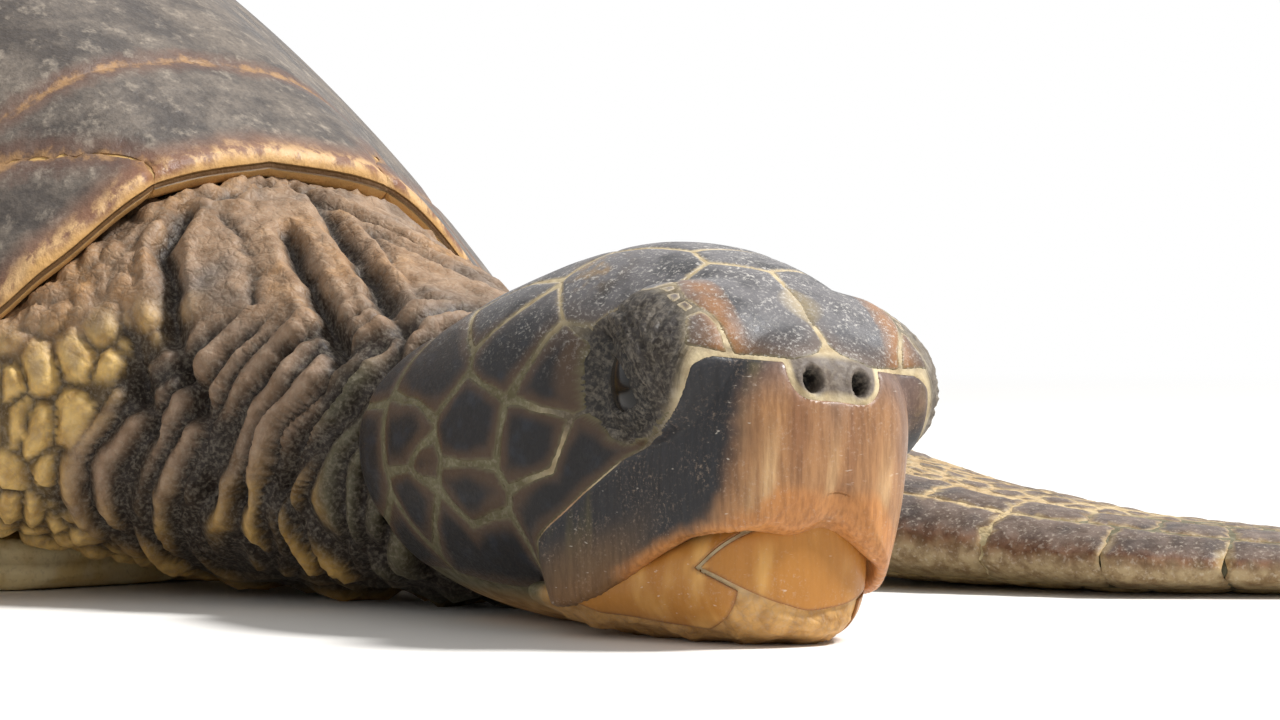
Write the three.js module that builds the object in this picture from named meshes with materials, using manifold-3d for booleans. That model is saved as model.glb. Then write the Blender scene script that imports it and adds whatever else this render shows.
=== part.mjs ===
// Life-size green sea turtle at rest on a beach, as a still display model.
// Millimetres, +Z up. The turtle faces -Y, its left side is +X, and it lies on the plane Z = 0.
// Flesh, shell plates and beak are each modelled whole and then parted with thin cuts.
import * as THREE from "three";
import { mergeVertices } from "three/addons/utils/BufferGeometryUtils.js";
import Module from "manifold-3d";

const wasm = await Module();
wasm.setup();

// ---------------------------------------------------------------- driving dimensions
const cut = 0.4; // width of every parting cut
const clearance = 0.4; // room between flesh and the hard parts laid on it

const carapace = {
  centre: 430, // distance of the dome's centre behind the nuchal notch
  apex: 322, // top of the dome
  plate: 14, // thickness of bone and scute together
  lip: 10, // height of the rim's edge
  marginalShare: 0.88, // where the marginal ring begins, as a share of the way to the rim
  sectors: 32,
  rings: 6,
};

// Rim of the carapace, from the nuchal notch round the left side to the tail: x, y, z, and how late the
// dome drops towards that part of the rim.
const rimPoints = [
  [0, 3, 162, 1.9],
  [54, 0, 153, 1.95],
  [96, 6, 124, 2.15],
  [130, 27, 98, 2.3],
  [204, 90, 88, 2.3],
  [284, 182, 84, 2.25],
  [338, 288, 82, 2.2],
  [357, 400, 82, 2.15],
  [348, 520, 84, 2.15],
  [312, 642, 88, 2.1],
  [244, 762, 92, 2.1],
  [150, 856, 88, 2.05],
  [56, 910, 78, 2.0],
  [0, 918, 74, 2.0],
];

const vertebrals = {
  ends: [52, 196, 362, 528, 690, 860], // seams across the back, from the nuchal plate to the tail
  corner: 62, // half width where two vertebral plates meet
  middle: 96, // half width at a plate's middle
};

// The belly plate: half width at its widest and of its flat middle, thickness, how far its sides rise.
const plastronSize = { halfWidth: 306, flat: 196, plate: 20, rise: 84 };

const head = {
  length: 190, // tip of the snout to the nape
  nape: -146, // where the nape lies along the body
  lift: 2, // the snout's base off the floor
  turn: -13, // degrees, to the turtle's left
  roll: 5.5, // degrees, left cheek down
  around: 24,
};

// Cross-sections of the head from the snout back: distance, half width, bottom, widest height, top, and
// how square the section is. The bottom follows the mouth and then the throat.
const headSections = [
  [0.0, 16, 42, 60, 80, 2.2],
  [2.5, 24, 35, 60, 87, 2.5],
  [7, 30.5, 31, 60, 91, 2.7],
  [15, 36, 30, 60, 97, 2.7],
  [27, 41, 27, 60, 106, 2.6],
  [40, 44, 21.5, 62, 113.5, 2.5],
  [55, 48, 14, 64, 119, 2.4],
  [72, 54, 6.5, 62, 123, 2.3],
  [90, 63, 1, 58, 125, 2.3],
  [110, 70, -2, 56, 122.5, 2.25],
  [130, 74, -3, 55, 117.5, 2.2],
  [150, 76, -3, 54, 112, 2.1],
  [172, 74, -2, 54, 104, 2.0],
  [190, 64, 4, 54, 94, 2.0],
];

// The lower jaw with its horny sheath: distance, half width, bottom, widest height, top, squareness.
const jawSections = [
  [8.5, 12, 6, 24, 39, 2.2],
  [11, 21, 2, 24, 40, 2.5],
  [17, 28, 0, 22, 40, 2.6],
  [28, 33, -2, 20, 37, 2.6],
  [44, 38, -3, 16, 30, 2.6],
  [62, 44, -3, 12, 21, 2.5],
  [78, 49, -3, 8, 14, 2.4],
  [92, 50, -2, 5, 9, 2.2],
];

// Places in the head's own frame: back from the snout's tip, out from the middle, up from the head's base.
const eye = { back: 45, side: 34, height: 78, radius: 19.5 };
const nostril = { back: 3, side: 8.8, height: 81.5, radius: 3.4 };

// The swelling of brow and lids over the eye.
const orbit = { back: 43, side: 35, height: 85, halfLength: 28, halfHeight: 27, bulge: 23.5 };

const lidOpening = {
  back: 46,
  side: 52,
  height: 76,
  halfLength: 19,
  halfHeight: 8,
  depth: 12,
  slope: 22, // degrees it drops towards the snout
  turn: 22, // degrees its front end turns in
};

// The neck and throat: distance from the nuchal notch, half width, bottom, widest height, top, squareness.
const neckSections = [
  [-176, 48, 6, 52, 92, 2.0],
  [-128, 66, -2, 50, 108, 2.1],
  [-100, 71, -2, 50, 116, 2.1],
  [-70, 78, -2, 51, 128, 2.1],
  [-40, 88, -2, 54, 140, 2.1],
  [-12, 102, 0, 58, 151, 2.1],
  [12, 122, 6, 64, 164, 2.2],
  [50, 165, 14, 72, 196, 2.4],
];

// Limbs from the body to the tip: x, y, z of the middle, width across and thickness. The left flipper
// reaches forward beside the head, the right one lies out to the side.
const leftFlipper = [
  [110, 170, 84, 124, 92],
  [170, 104, 66, 130, 84],
  [212, 22, 46, 126, 68],
  [218, -60, 30, 122, 52],
  [218, -138, 20, 128, 39],
  [248, -208, 13, 134, 28],
  [300, -262, 9.5, 130, 20],
  [362, -300, 7, 108, 15],
  [420, -322, 5.5, 78, 12],
  [466, -332, 5, 46, 10],
  [496, -334, 4.5, 16, 8],
];
const rightFlipper = [
  [-110, 170, 84, 124, 92],
  [-176, 114, 66, 130, 84],
  [-242, 58, 46, 126, 66],
  [-310, 24, 29, 122, 48],
  [-372, 24, 18, 128, 35],
  [-440, 56, 12, 134, 26],
  [-492, 108, 8.5, 128, 19],
  [-530, 170, 6.5, 106, 14],
  [-552, 232, 5.5, 76, 12],
  [-562, 278, 5, 44, 10],
  [-564, 306, 4.5, 14, 8],
];
const hindLimb = [
  [112, 700, 58, 124, 74],
  [160, 786, 44, 120, 58],
  [206, 856, 24, 120, 40],
  [238, 916, 11, 134, 22],
  [260, 970, 7, 128, 14],
  [274, 1014, 5.5, 92, 11],
  [280, 1038, 4.5, 38, 8],
];
const tailLine = [
  [0, 800, 52, 110, 66],
  [0, 868, 38, 74, 52],
  [0, 916, 24, 44, 34],
  [0, 956, 13, 26, 22],
  [0, 982, 8, 12, 14],
];
const limbAround = 12;

// One claw on the leading edge of each limb: its place counted in stations, its length and thickness.
const claw = { front: 6.1, hind: 3.2, length: 22, thick: 9 };

// ---------------------------------------------------------------- small tools
const point = (x, y, z) => new THREE.Vector3(x, y, z);
const rad = THREE.MathUtils.degToRad;

// A three.js geometry as a solid that can be joined and cut.
function solidFrom(geometry) {
  const bare = geometry.clone();
  bare.deleteAttribute("normal");
  bare.deleteAttribute("uv");
  const merged = mergeVertices(bare, 1e-4);
  const corners = new Uint32Array(merged.index.array);
  const build = () =>
    new wasm.Manifold(
      new wasm.Mesh({
        numProp: 3,
        vertProperties: new Float32Array(merged.attributes.position.array),
        triVerts: corners,
      }),
    );
  let solid = build();
  if (solid.volume() < 0) {
    for (let i = 0; i < corners.length; i += 3) {
      [corners[i + 1], corners[i + 2]] = [corners[i + 2], corners[i + 1]];
    }
    solid = build();
  }
  return solid;
}

function geometryFrom(solid) {
  const made = solid.getMesh();
  const geometry = new THREE.BufferGeometry();
  geometry.setAttribute("position", new THREE.BufferAttribute(made.vertProperties, 3));
  geometry.setIndex(new THREE.BufferAttribute(made.triVerts, 1));
  geometry.computeVertexNormals();
  return geometry;
}

// A closed surface over rings of equal count, drawn to a point at each end.
function surfaceOver(rings) {
  const count = rings[0].length;
  const middleOf = (ring) =>
    ring.reduce((sum, p) => sum.add(p), point(0, 0, 0)).divideScalar(count);
  const places = [middleOf(rings[0]), ...rings.flat(), middleOf(rings.at(-1))];
  const faces = [];
  for (let i = 0; i < count; i++) {
    const next = (i + 1) % count;
    faces.push(0, 1 + next, 1 + i);
    for (let k = 0; k < rings.length - 1; k++) {
      const low = 1 + k * count;
      const high = low + count;
      faces.push(low + i, low + next, high + next, low + i, high + next, high + i);
    }
    const last = 1 + (rings.length - 1) * count;
    faces.push(last + i, last + next, places.length - 1);
  }
  const geometry = new THREE.BufferGeometry().setFromPoints(places);
  geometry.setIndex(faces);
  return geometry;
}

// A row of a table at a place between its rows, eased by a Catmull-Rom curve in each column.
function easedRow(rows, place) {
  const i = Math.min(Math.floor(place), rows.length - 2);
  const t = place - i;
  const [before, from, to, after] = [i - 1, i, i + 1, i + 2].map(
    (k) => rows[THREE.MathUtils.clamp(k, 0, rows.length - 1)],
  );
  return from.map((b, j) => {
    const [a, c, d] = [before[j], to[j], after[j]];
    const bend = (2 * a - 5 * b + 4 * c - d) * t ** 2 + (3 * b - a - 3 * c + d) * t ** 3;
    return b + ((c - a) * t + bend) / 2;
  });
}

const easedRows = (rows, perGap) =>
  Array.from({ length: (rows.length - 1) * perGap + 1 }, (_, i) => easedRow(rows, i / perGap));

// One section across the head, jaw or neck: a soft rectangle, widest at its own height.
function crossSection([y, halfWidth, bottom, widest, top, square], around) {
  return Array.from({ length: around }, (_, i) => {
    const angle = (2 * Math.PI * (i + 0.5)) / around;
    const across = Math.sign(Math.cos(angle)) * Math.abs(Math.cos(angle)) ** (2 / square);
    const up = Math.abs(Math.sin(angle)) ** (2 / square);
    const reach = Math.sin(angle) > 0 ? top - widest : bottom - widest;
    return point(halfWidth * across, y, widest + reach * up);
  });
}

// The sections of a limb, upright and square to its line in plan.
function limbRings(stations, grow) {
  return stations.map(([x, y, z, width, thick], i) => {
    const before = stations[Math.max(i - 1, 0)];
    const after = stations[Math.min(i + 1, stations.length - 1)];
    const along = point(after[0] - before[0], after[1] - before[1], 0).normalize();
    const across = point(along.y, -along.x, 0);
    return Array.from({ length: limbAround }, (_, k) => {
      const angle = (2 * Math.PI * k) / limbAround;
      const side = Math.sign(Math.cos(angle)) * Math.abs(Math.cos(angle)) ** 0.9;
      return across
        .clone()
        .multiplyScalar(side * (width / 2 + grow))
        .add(point(x, y, z + Math.sin(angle) * (thick / 2 + grow)));
    });
  });
}
const limbSolid = (stations, grow = 0) => solidFrom(surfaceOver(limbRings(stations, grow)));

// A claw that leaves the leading edge of a limb and bends towards its tip.
function clawSolid(stations, place, side) {
  const [x, y, z, width, thick] = easedRow(stations, place);
  const next = easedRow(stations, place + 0.2);
  const along = point(next[0] - x, next[1] - y, 0).normalize();
  const outward = point(along.y, -along.x, 0).multiplyScalar(side);
  const rings = [0, 0.35, 0.7, 1].map((share) => {
    const radius = (claw.thick / 2) * (1 - share * 0.82);
    const centre = point(x, y, z + thick * 0.04)
      .addScaledVector(outward, width / 2 - 5 + claw.length * share * (1 - 0.3 * share))
      .addScaledVector(along, claw.length * 0.55 * share * share);
    return Array.from({ length: 8 }, (_, k) => {
      const angle = (Math.PI * k) / 4;
      const out = centre.clone().addScaledVector(along, radius * Math.cos(angle));
      return out.setZ(centre.z + radius * Math.sin(angle));
    });
  });
  return largestOf(solidFrom(surfaceOver(rings)).subtract(limbSolid(stations, clearance)));
}

function block(size, centre, turn = [0, 0, 0]) {
  const box = new THREE.BoxGeometry(...size);
  const matrix = new THREE.Matrix4().makeRotationFromEuler(new THREE.Euler(...turn.map(rad)));
  matrix.setPosition(...centre);
  return solidFrom(box.applyMatrix4(matrix));
}

// A thin upright wall over a line in plan, for parting plates.
function wallOver(line, width = cut) {
  const walls = line.slice(1).map((end, i) => {
    const [x1, y1] = line[i];
    const [x2, y2] = end;
    const long = Math.hypot(x2 - x1, y2 - y1) + width;
    const angle = THREE.MathUtils.radToDeg(Math.atan2(y2 - y1, x2 - x1));
    return block([long, width, 900], [(x1 + x2) / 2, (y1 + y2) / 2, 200], [0, 0, angle]);
  });
  return walls.reduce((sum, wall) => sum.add(wall));
}

const mirrored = (stations) => stations.map(([x, ...rest]) => [-x, ...rest]);
const bySize = (solid) => solid.decompose().sort((a, b) => b.volume() - a.volume());
const largestOf = (solid) => bySize(solid)[0];
const joined = (solids) => solids.reduce((sum, solid) => sum.add(solid));
const centreOf = (solid) => {
  const { min, max } = solid.boundingBox();
  return min.map((low, i) => (low + max[i]) / 2);
};

// ---------------------------------------------------------------- carapace
const rimSteps = rimPoints.length - 1;

// The rim at a place counted in steps of its table, on the left side.
function rimAt(place) {
  const [x, y, z, fall] = easedRow(rimPoints, Math.min(place, rimSteps));
  return { x, y, z, fall };
}

function rimRound(sectors) {
  const half = sectors / 2;
  const left = Array.from({ length: half + 1 }, (_, i) => rimAt((i * rimSteps) / half));
  const right = left.slice(1, -1).reverse().map((edge) => ({ ...edge, x: -edge.x }));
  return [...left, ...right];
}
const coarseRim = rimRound(carapace.sectors);

// A point of the carapace, from its centre (share 0) to the rim (share 1).
function domePoint(edge, share, lower = 0) {
  const x = edge.x * share;
  const y = carapace.centre + (edge.y - carapace.centre) * share;
  const z = edge.z + (carapace.apex - edge.z) * (1 - share ** edge.fall);
  return point(x, y, z - lower);
}

const domeShares = (rings) =>
  Array.from({ length: rings }, (_, k) => Math.sin((Math.PI / 2) * ((k + 1) / rings)) ** 1.15);

// The underside of the carapace, from the rim's edge to the centre. Towards the rim the bowl closes on
// itself, as marginal plates do. With room, it lies that much lower and further in.
function undersideRings(room) {
  const { rings, plate, lip, marginalShare } = carapace;
  const inward = room / 250;
  const edgeRing = (share, drop) =>
    coarseRim.map((edge) => domePoint(edge, share).setZ(edge.z - drop - room));
  const innerRing = (share) =>
    coarseRim.map((edge) =>
      domePoint(edge, share - inward).setZ(domePoint(edge, share).z - plate - room),
    );
  const step = coarseRim.map((edge) =>
    domePoint(edge, marginalShare - inward).setZ(edge.z - lip + 4 - room),
  );
  const inner = domeShares(rings).filter((share) => share < marginalShare - 0.02);
  return [edgeRing(0.985, lip), step, ...[...inner, marginalShare - 0.012].reverse().map(innerRing)];
}

// The bone and scutes as one bowl.
function carapaceBowl() {
  const outer = domeShares(carapace.rings).map((share) =>
    coarseRim.map((edge) => domePoint(edge, share)),
  );
  const edge = coarseRim.map((place) => domePoint(place, 0.997, carapace.lip * 0.62));
  return solidFrom(surfaceOver([...outer, edge, ...undersideRings(0)]));
}

// All that lies above the carapace's underside, which the flesh and the plastron keep out of.
function roomAboveFlesh() {
  const rings = undersideRings(clearance);
  const beyond = coarseRim.map((edge) =>
    domePoint(edge, 1.05).setZ(edge.z - carapace.lip - clearance),
  );
  const over = coarseRim.map((edge) => domePoint(edge, 1.05).setZ(600));
  return solidFrom(surfaceOver([over, beyond, ...rings]));
}

function outlinePrism(share) {
  const corners = coarseRim.map((edge) => domePoint(edge, share));
  const shape = new THREE.Shape(corners.map(({ x, y }) => new THREE.Vector2(x, y)));
  return solidFrom(new THREE.ExtrudeGeometry(shape, { depth: 600, bevelEnabled: false }));
}

// The seam between the nuchal plate and the first marginal, on the left.
const nuchalSeam = [
  [48, -20],
  [56, 10],
  [126, 77],
];

// Places on the rim where the seams of the marginal plates end, in steps of the rim's table.
const marginalSeams = [3, 3.9, 4.8, 5.65, 6.5, 7.35, 8.2, 9.05, 9.95, 10.85, 11.9];

function carapaceSeams() {
  const { marginalShare, centre } = carapace;
  const { ends, corner, middle } = vertebrals;
  const inside = outlinePrism(marginalShare);
  const ring = outlinePrism(marginalShare + cut / 350).subtract(inside);
  const seams = [];
  const marginalWalls = [];
  for (const side of [1, -1]) {
    marginalWalls.push(wallOver(nuchalSeam.map(([x, y]) => [side * x, y])));
    for (const share of marginalSeams) {
      const edge = rimAt(share);
      const at = (k) => [side * edge.x * k, centre + (edge.y - centre) * k];
      marginalWalls.push(wallOver([at(0.8), at(1.05)]));
    }
    const zigzag = ends.slice(0, -1).flatMap((start, i) => {
      const half = (start + ends[i + 1]) / 2;
      return i === 0
        ? [[side * (middle + 8), start - 16], [side * corner, ends[1]]]
        : [[side * middle, half], [side * corner * (i === 4 ? 1.5 : 1), ends[i + 1]]];
    });
    seams.push(wallOver(zigzag));
    for (let i = 1; i <= 3; i++) {
      const half = (ends[i] + ends[i + 1]) / 2;
      seams.push(wallOver([[side * middle, half], [side * 400, half + (half - centre) * 0.22]]));
    }
  }
  for (const y of ends.slice(1, -1)) {
    seams.push(wallOver([[-corner, y], [corner, y]]));
  }
  marginalWalls.push(wallOver([[0, 800], [0, 960]]));
  const middleSeams = joined(seams).intersect(outlinePrism(marginalShare + cut / 700));
  return joined([middleSeams, joined(marginalWalls).subtract(inside), ring]);
}

// Each plate after parting, named by where it lies.
function carapacePlates() {
  const { marginalShare, centre } = carapace;
  const inside = outlinePrism(marginalShare);
  const plates = carapaceBowl().subtract(carapaceSeams()).decompose();
  const placed = plates.map((solid) => {
    const [x, y] = centreOf(solid);
    const marginal = solid.subtract(inside).volume() > 0.5 * solid.volume();
    return { solid, x, y, marginal, side: Math.abs(x) < 12 ? "" : x > 0 ? "left" : "right" };
  });
  const named = new Map();
  const number = (list, name) => list.forEach((plate, i) => named.set(`${name}_${i + 1}`, plate.solid));
  const front = (a, b) => a.y - b.y;
  number(placed.filter((p) => !p.marginal && p.side === "").sort(front), "vertebral");
  for (const side of ["left", "right"]) {
    number(placed.filter((p) => !p.marginal && p.side === side).sort(front), `costal_${side}`);
    const ring = placed.filter((p) => p.marginal && p.side === side).sort(front);
    number(ring.slice(0, -1), `marginal_${side}`);
    named.set(`supracaudal_${side}`, ring.at(-1).solid);
  }
  named.set("nuchal", placed.find((p) => p.marginal && p.side === "").solid);
  return named;
}

// ---------------------------------------------------------------- plastron
// Half width of the belly plate at a distance behind the nuchal notch.
const bellyWidths = [
  [46, 60],
  [72, 128],
  [130, 176],
  [206, 236],
  [270, 302],
  [400, 316],
  [540, 300],
  [604, 232],
  [680, 170],
  [750, 118],
  [800, 56],
];

function plastronSolid(grow) {
  const { flat, plate, rise, halfWidth } = plastronSize;
  const steps = 7;
  const lift = (x) => (x <= flat ? 0 : rise * ((x - flat) / (halfWidth - flat)) ** 1.35);
  const rows = easedRows(bellyWidths, 1);
  const rings = rows.map(([y, width], i) => {
    const edge = width + grow;
    const shift = i === 0 ? -grow : i === rows.length - 1 ? grow : 0;
    const xs = Array.from({ length: 2 * steps + 1 }, (_, k) => (edge * (k - steps)) / steps);
    const lower = xs.map((x) => point(x, y + shift, lift(Math.abs(x)) - grow));
    const upper = xs.map((x) => point(x, y + shift, lift(Math.abs(x)) + plate + grow)).reverse();
    return [...lower, ...upper];
  });
  return solidFrom(surfaceOver(rings));
}

// ---------------------------------------------------------------- head, eyes and beak
function headSolid(grow = 0) {
  const rings = headSections.map(([y, halfWidth, bottom, widest, top, square], i) => {
    const end = i === headSections.length - 1 ? grow : 0;
    const row = [y + end, halfWidth + grow, bottom - grow, widest, top + grow, square];
    const ring = crossSection(row, head.around);
    return ring.map((p) => {
      const along = (p.y - orbit.back) / orbit.halfLength;
      const up = (p.z - orbit.height) / orbit.halfHeight;
      const inside = 1 - along * along - up * up;
      if (inside <= 0) {
        return p;
      }
      const swell = orbit.side + orbit.bulge * Math.sqrt(inside) + grow;
      return point(Math.sign(p.x) * Math.max(Math.abs(p.x), swell), p.y, p.z);
    });
  });
  return solidFrom(surfaceOver(rings));
}

function jawSolid(grow = 0, below = 0) {
  const rings = jawSections.map(([y, halfWidth, bottom, widest, top, square]) =>
    crossSection([y, halfWidth + grow, bottom - below, widest, top + grow, square], 20),
  );
  return solidFrom(surfaceOver(rings));
}

function ball(radii, centre, tilt = 0, turn = 0, detail = 2) {
  const shape = new THREE.IcosahedronGeometry(1, detail);
  const matrix = new THREE.Matrix4().makeRotationZ(rad(turn));
  matrix.multiply(new THREE.Matrix4().makeRotationX(rad(tilt)));
  matrix.scale(point(...radii)).setPosition(...centre);
  return solidFrom(shape.applyMatrix4(matrix));
}

const eyeBall = (side, grow) =>
  ball(Array(3).fill(eye.radius + grow), [side * eye.side, eye.back, eye.height]);

// The opening between the lids: an almond that drops towards the snout.
function lidRoom(side) {
  const { back, side: out, height, halfLength, halfHeight, depth, slope, turn } = lidOpening;
  return ball([depth, halfLength, halfHeight], [side * out, back, height], slope, -side * turn, 1);
}

function nostrilRoom(side) {
  const { back, side: out, height, radius } = nostril;
  return ball([radius * 0.8, 6, radius], [side * out, back - 2, height], 0, 0, 1);
}

// Line of the beak's upper edge in side view: from the snout under the nostrils, back and down to the
// mouth's corner.
const beakSeam = [
  [-30, 74],
  [10, 74],
  [18, 69],
  [28, 62],
  [50, 53],
  [64, 40],
  [76, 24],
  [87, -20],
];

// The line in side view that parts the horn of the lower jaw from the soft chin under it.
const lowerBeakSeam = [
  [-10, 11],
  [14, 10],
  [34, 4],
  [60, 2.5],
  [72, 9],
  [80, 40],
];

// A thin wall across the head over a line in side view.
function wallAcross(line, width = cut) {
  const walls = line.slice(1).map(([y2, z2], i) => {
    const [y1, z1] = line[i];
    const long = Math.hypot(y2 - y1, z2 - z1) + width;
    const slope = THREE.MathUtils.radToDeg(Math.atan2(z2 - z1, y2 - y1));
    return block([300, long, width], [0, (y1 + y2) / 2, (z1 + z2) / 2], [slope, 0, 0]);
  });
  return joined(walls);
}

// Head, beak, jaw and eyes in the head's own frame: snout tip at the origin, +Y towards the nape.
function headPieces() {
  const jaw = jawSolid();
  const roomForJaw = jawSolid(clearance, 30);
  const backOfJaw = block([92, clearance * 2, 40], [0, jawSections.at(-1)[0] + clearance, -12]);
  const paired = [1, -1].flatMap((side) => [
    eyeBall(side, clearance),
    lidRoom(side),
    nostrilRoom(side),
  ]);
  const hollows = [roomForJaw, backOfJaw, ...paired];
  const hollowed = headSolid().subtract(joined(hollows));
  const [headFlesh, upperBeak] = bySize(hollowed.subtract(wallAcross(beakSeam)));
  const [lowerBeak, jawFlesh] = bySize(jaw.subtract(wallAcross(lowerBeakSeam)));
  return {
    head: headFlesh,
    upper_beak: upperBeak,
    lower_jaw: jawFlesh,
    lower_beak: lowerBeak,
    eye_left: eyeBall(1, 0),
    eye_right: eyeBall(-1, 0),
  };
}

// ---------------------------------------------------------------- trunk and neck
function neckSolid(grow) {
  const rings = neckSections.map(([y, halfWidth, bottom, widest, top, square]) =>
    crossSection([y, halfWidth + grow, bottom - grow, widest, top + grow, square], 20),
  );
  return solidFrom(surfaceOver(rings));
}

// The body inside the shell. Its rim follows the underside of the carapace.
function trunkSolid(grow) {
  const under = [
    [0.6, 16 - grow],
    [0.82, 28 - grow],
    [0.88, 48 - grow],
    [0.9, 76 + grow],
  ];
  const shift = grow / 300;
  const lower = under.map(([share, z]) =>
    coarseRim.map((edge) => {
      const ceiling = edge.z - carapace.lip - 1 + grow;
      return domePoint(edge, share + shift).setZ(Math.min(z, ceiling));
    }),
  );
  return solidFrom(surfaceOver([...lower, ...undersideRings(clearance - grow).slice(1)]));
}

// ---------------------------------------------------------------- assembly
const colours = {
  flesh: new THREE.MeshStandardMaterial({ color: 0x6b6250, roughness: 0.75 }),
  scute: new THREE.MeshStandardMaterial({ color: 0x4a4038, roughness: 0.55 }),
  plastron: new THREE.MeshStandardMaterial({ color: 0xd9c48a, roughness: 0.6 }),
  horn: new THREE.MeshStandardMaterial({ color: 0x9a6a45, roughness: 0.45 }),
  eye: new THREE.MeshStandardMaterial({ color: 0x15100c, roughness: 0.08 }),
};

const turtle = new THREE.Group();

function addNode(name, solid, material) {
  const mesh = new THREE.Mesh(geometryFrom(solid.simplify(0.3)), material.clone());
  mesh.name = name;
  turtle.add(mesh);
}

for (const [name, solid] of carapacePlates()) {
  addNode(name, solid, colours.scute);
}

const floor = block([3000, 3000, 400], [0, 300, -200]);
addNode("plastron", largestOf(plastronSolid(0).subtract(roomAboveFlesh())), colours.plastron);

const headPose = new THREE.Matrix4()
  .makeTranslation(0, head.nape, 0)
  .multiply(new THREE.Matrix4().makeRotationZ(rad(head.turn)))
  .multiply(new THREE.Matrix4().makeRotationY(rad(head.roll)))
  .multiply(new THREE.Matrix4().makeTranslation(0, -head.length, head.lift));
const headMaterials = {
  head: colours.flesh,
  upper_beak: colours.horn,
  lower_jaw: colours.flesh,
  lower_beak: colours.horn,
  eye_left: colours.eye,
  eye_right: colours.eye,
};
for (const [name, solid] of Object.entries(headPieces())) {
  addNode(name, solid.transform(headPose.elements).subtract(floor), headMaterials[name]);
}

const hardParts = joined([roomAboveFlesh(), plastronSolid(clearance), floor]);
const wholeHead = headSolid(clearance).transform(headPose.elements);
const grownTrunk = trunkSolid(clearance);
const body = joined([grownTrunk, neckSolid(clearance)]);
addNode("trunk", largestOf(trunkSolid(0).subtract(plastronSolid(clearance))), colours.flesh);
const neck = neckSolid(0).subtract(hardParts).subtract(grownTrunk).subtract(wholeHead);
addNode("neck", largestOf(neck), colours.flesh);

const limbs = {
  front_flipper_left: leftFlipper,
  front_flipper_right: rightFlipper,
  hind_flipper_left: hindLimb,
  hind_flipper_right: mirrored(hindLimb),
  tail: tailLine,
};
for (const [name, stations] of Object.entries(limbs)) {
  addNode(name, largestOf(limbSolid(stations).subtract(hardParts).subtract(body)), colours.flesh);
}
addNode("claw_front_left", clawSolid(leftFlipper, claw.front, 1), colours.horn);
addNode("claw_front_right", clawSolid(rightFlipper, claw.front, -1), colours.horn);
addNode("claw_hind_left", clawSolid(hindLimb, claw.hind, 1), colours.horn);
addNode("claw_hind_right", clawSolid(mirrored(hindLimb), claw.hind, -1), colours.horn);

// The part's origin is the middle of its footprint, on the floor.
const middle = new THREE.Box3().setFromObject(turtle).getCenter(point(0, 0, 0));
turtle.position.set(-middle.x, -middle.y, 0);

export default turtle;
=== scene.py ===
import math
import bpy
import numpy as np
from mathutils import Matrix, Vector
from mathutils.kdtree import KDTree


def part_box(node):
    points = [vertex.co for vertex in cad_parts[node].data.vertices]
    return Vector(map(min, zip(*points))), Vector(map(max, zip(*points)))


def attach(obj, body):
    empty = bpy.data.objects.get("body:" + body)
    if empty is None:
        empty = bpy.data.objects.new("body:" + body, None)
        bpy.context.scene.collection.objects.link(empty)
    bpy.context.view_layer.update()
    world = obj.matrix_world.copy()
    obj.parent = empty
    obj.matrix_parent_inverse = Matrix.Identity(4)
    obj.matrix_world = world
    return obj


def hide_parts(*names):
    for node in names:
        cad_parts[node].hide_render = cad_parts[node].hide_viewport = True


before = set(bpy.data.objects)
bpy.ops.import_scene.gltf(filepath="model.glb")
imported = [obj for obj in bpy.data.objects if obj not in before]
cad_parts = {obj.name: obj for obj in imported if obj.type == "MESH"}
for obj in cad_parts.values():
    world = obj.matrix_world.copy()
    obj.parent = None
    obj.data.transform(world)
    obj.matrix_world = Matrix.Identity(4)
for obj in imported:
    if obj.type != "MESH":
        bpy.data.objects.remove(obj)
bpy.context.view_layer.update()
bpy.ops.object.select_all(action="DESELECT")
mm = 0.001


# Small helpers

def toLinear(hexText):
    channels = [int(hexText[i:i + 2], 16) / 255 for i in (1, 3, 5)]
    return [c / 12.92 if c <= 0.04045 else ((c + 0.055) / 1.055) ** 2.4 for c in channels]


def smooth(low, high, value):
    t = np.clip((value - low) / (high - low), 0, 1)
    return t * t * (3 - 2 * t)


def hump(value, centre, width):
    return np.exp(-(((value - centre) / width) ** 2))


def unit(vectors):
    return vectors / np.maximum(np.linalg.norm(vectors, axis=-1, keepdims=True), 1e-12)


def hashed(cells, seed):
    # a repeatable random number from 0 to 1 for each whole-number cell
    n = cells.astype(np.int64)
    h = n[..., 0] * 73856093 ^ n[..., 1] * 19349663 ^ n[..., 2] * 83492791 ^ (seed * 2654435761)
    h = (h ^ (h >> 13)) * 1274126177
    h = (h ^ (h >> 16)) & 0xFFFFFF
    return h / float(0xFFFFFF)


def noiseAt(points, size, seed=0):
    # smooth value noise from -1 to 1, with features about `size` apart
    q = points / size
    base = np.floor(q)
    t = q - base
    t = t * t * (3 - 2 * t)
    total = 0
    for corner in np.ndindex(2, 2, 2):
        c = np.array(corner)
        weight = np.prod(np.where(c == 1, t, 1 - t), axis=-1)
        total = total + weight * hashed(base + c, seed)
    return total * 2 - 1


def layeredNoise(points, size, seed=0, layers=3):
    return sum(noiseAt(points, size / 2 ** i, seed + i) / 2 ** i for i in range(layers)) / 1.6


def driftAt(points, size, seed):
    # a smooth shift of each point in all three directions, which bends lines and cells
    return np.stack([layeredNoise(points, size, seed + k, 2) for k in range(3)], -1)


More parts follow.
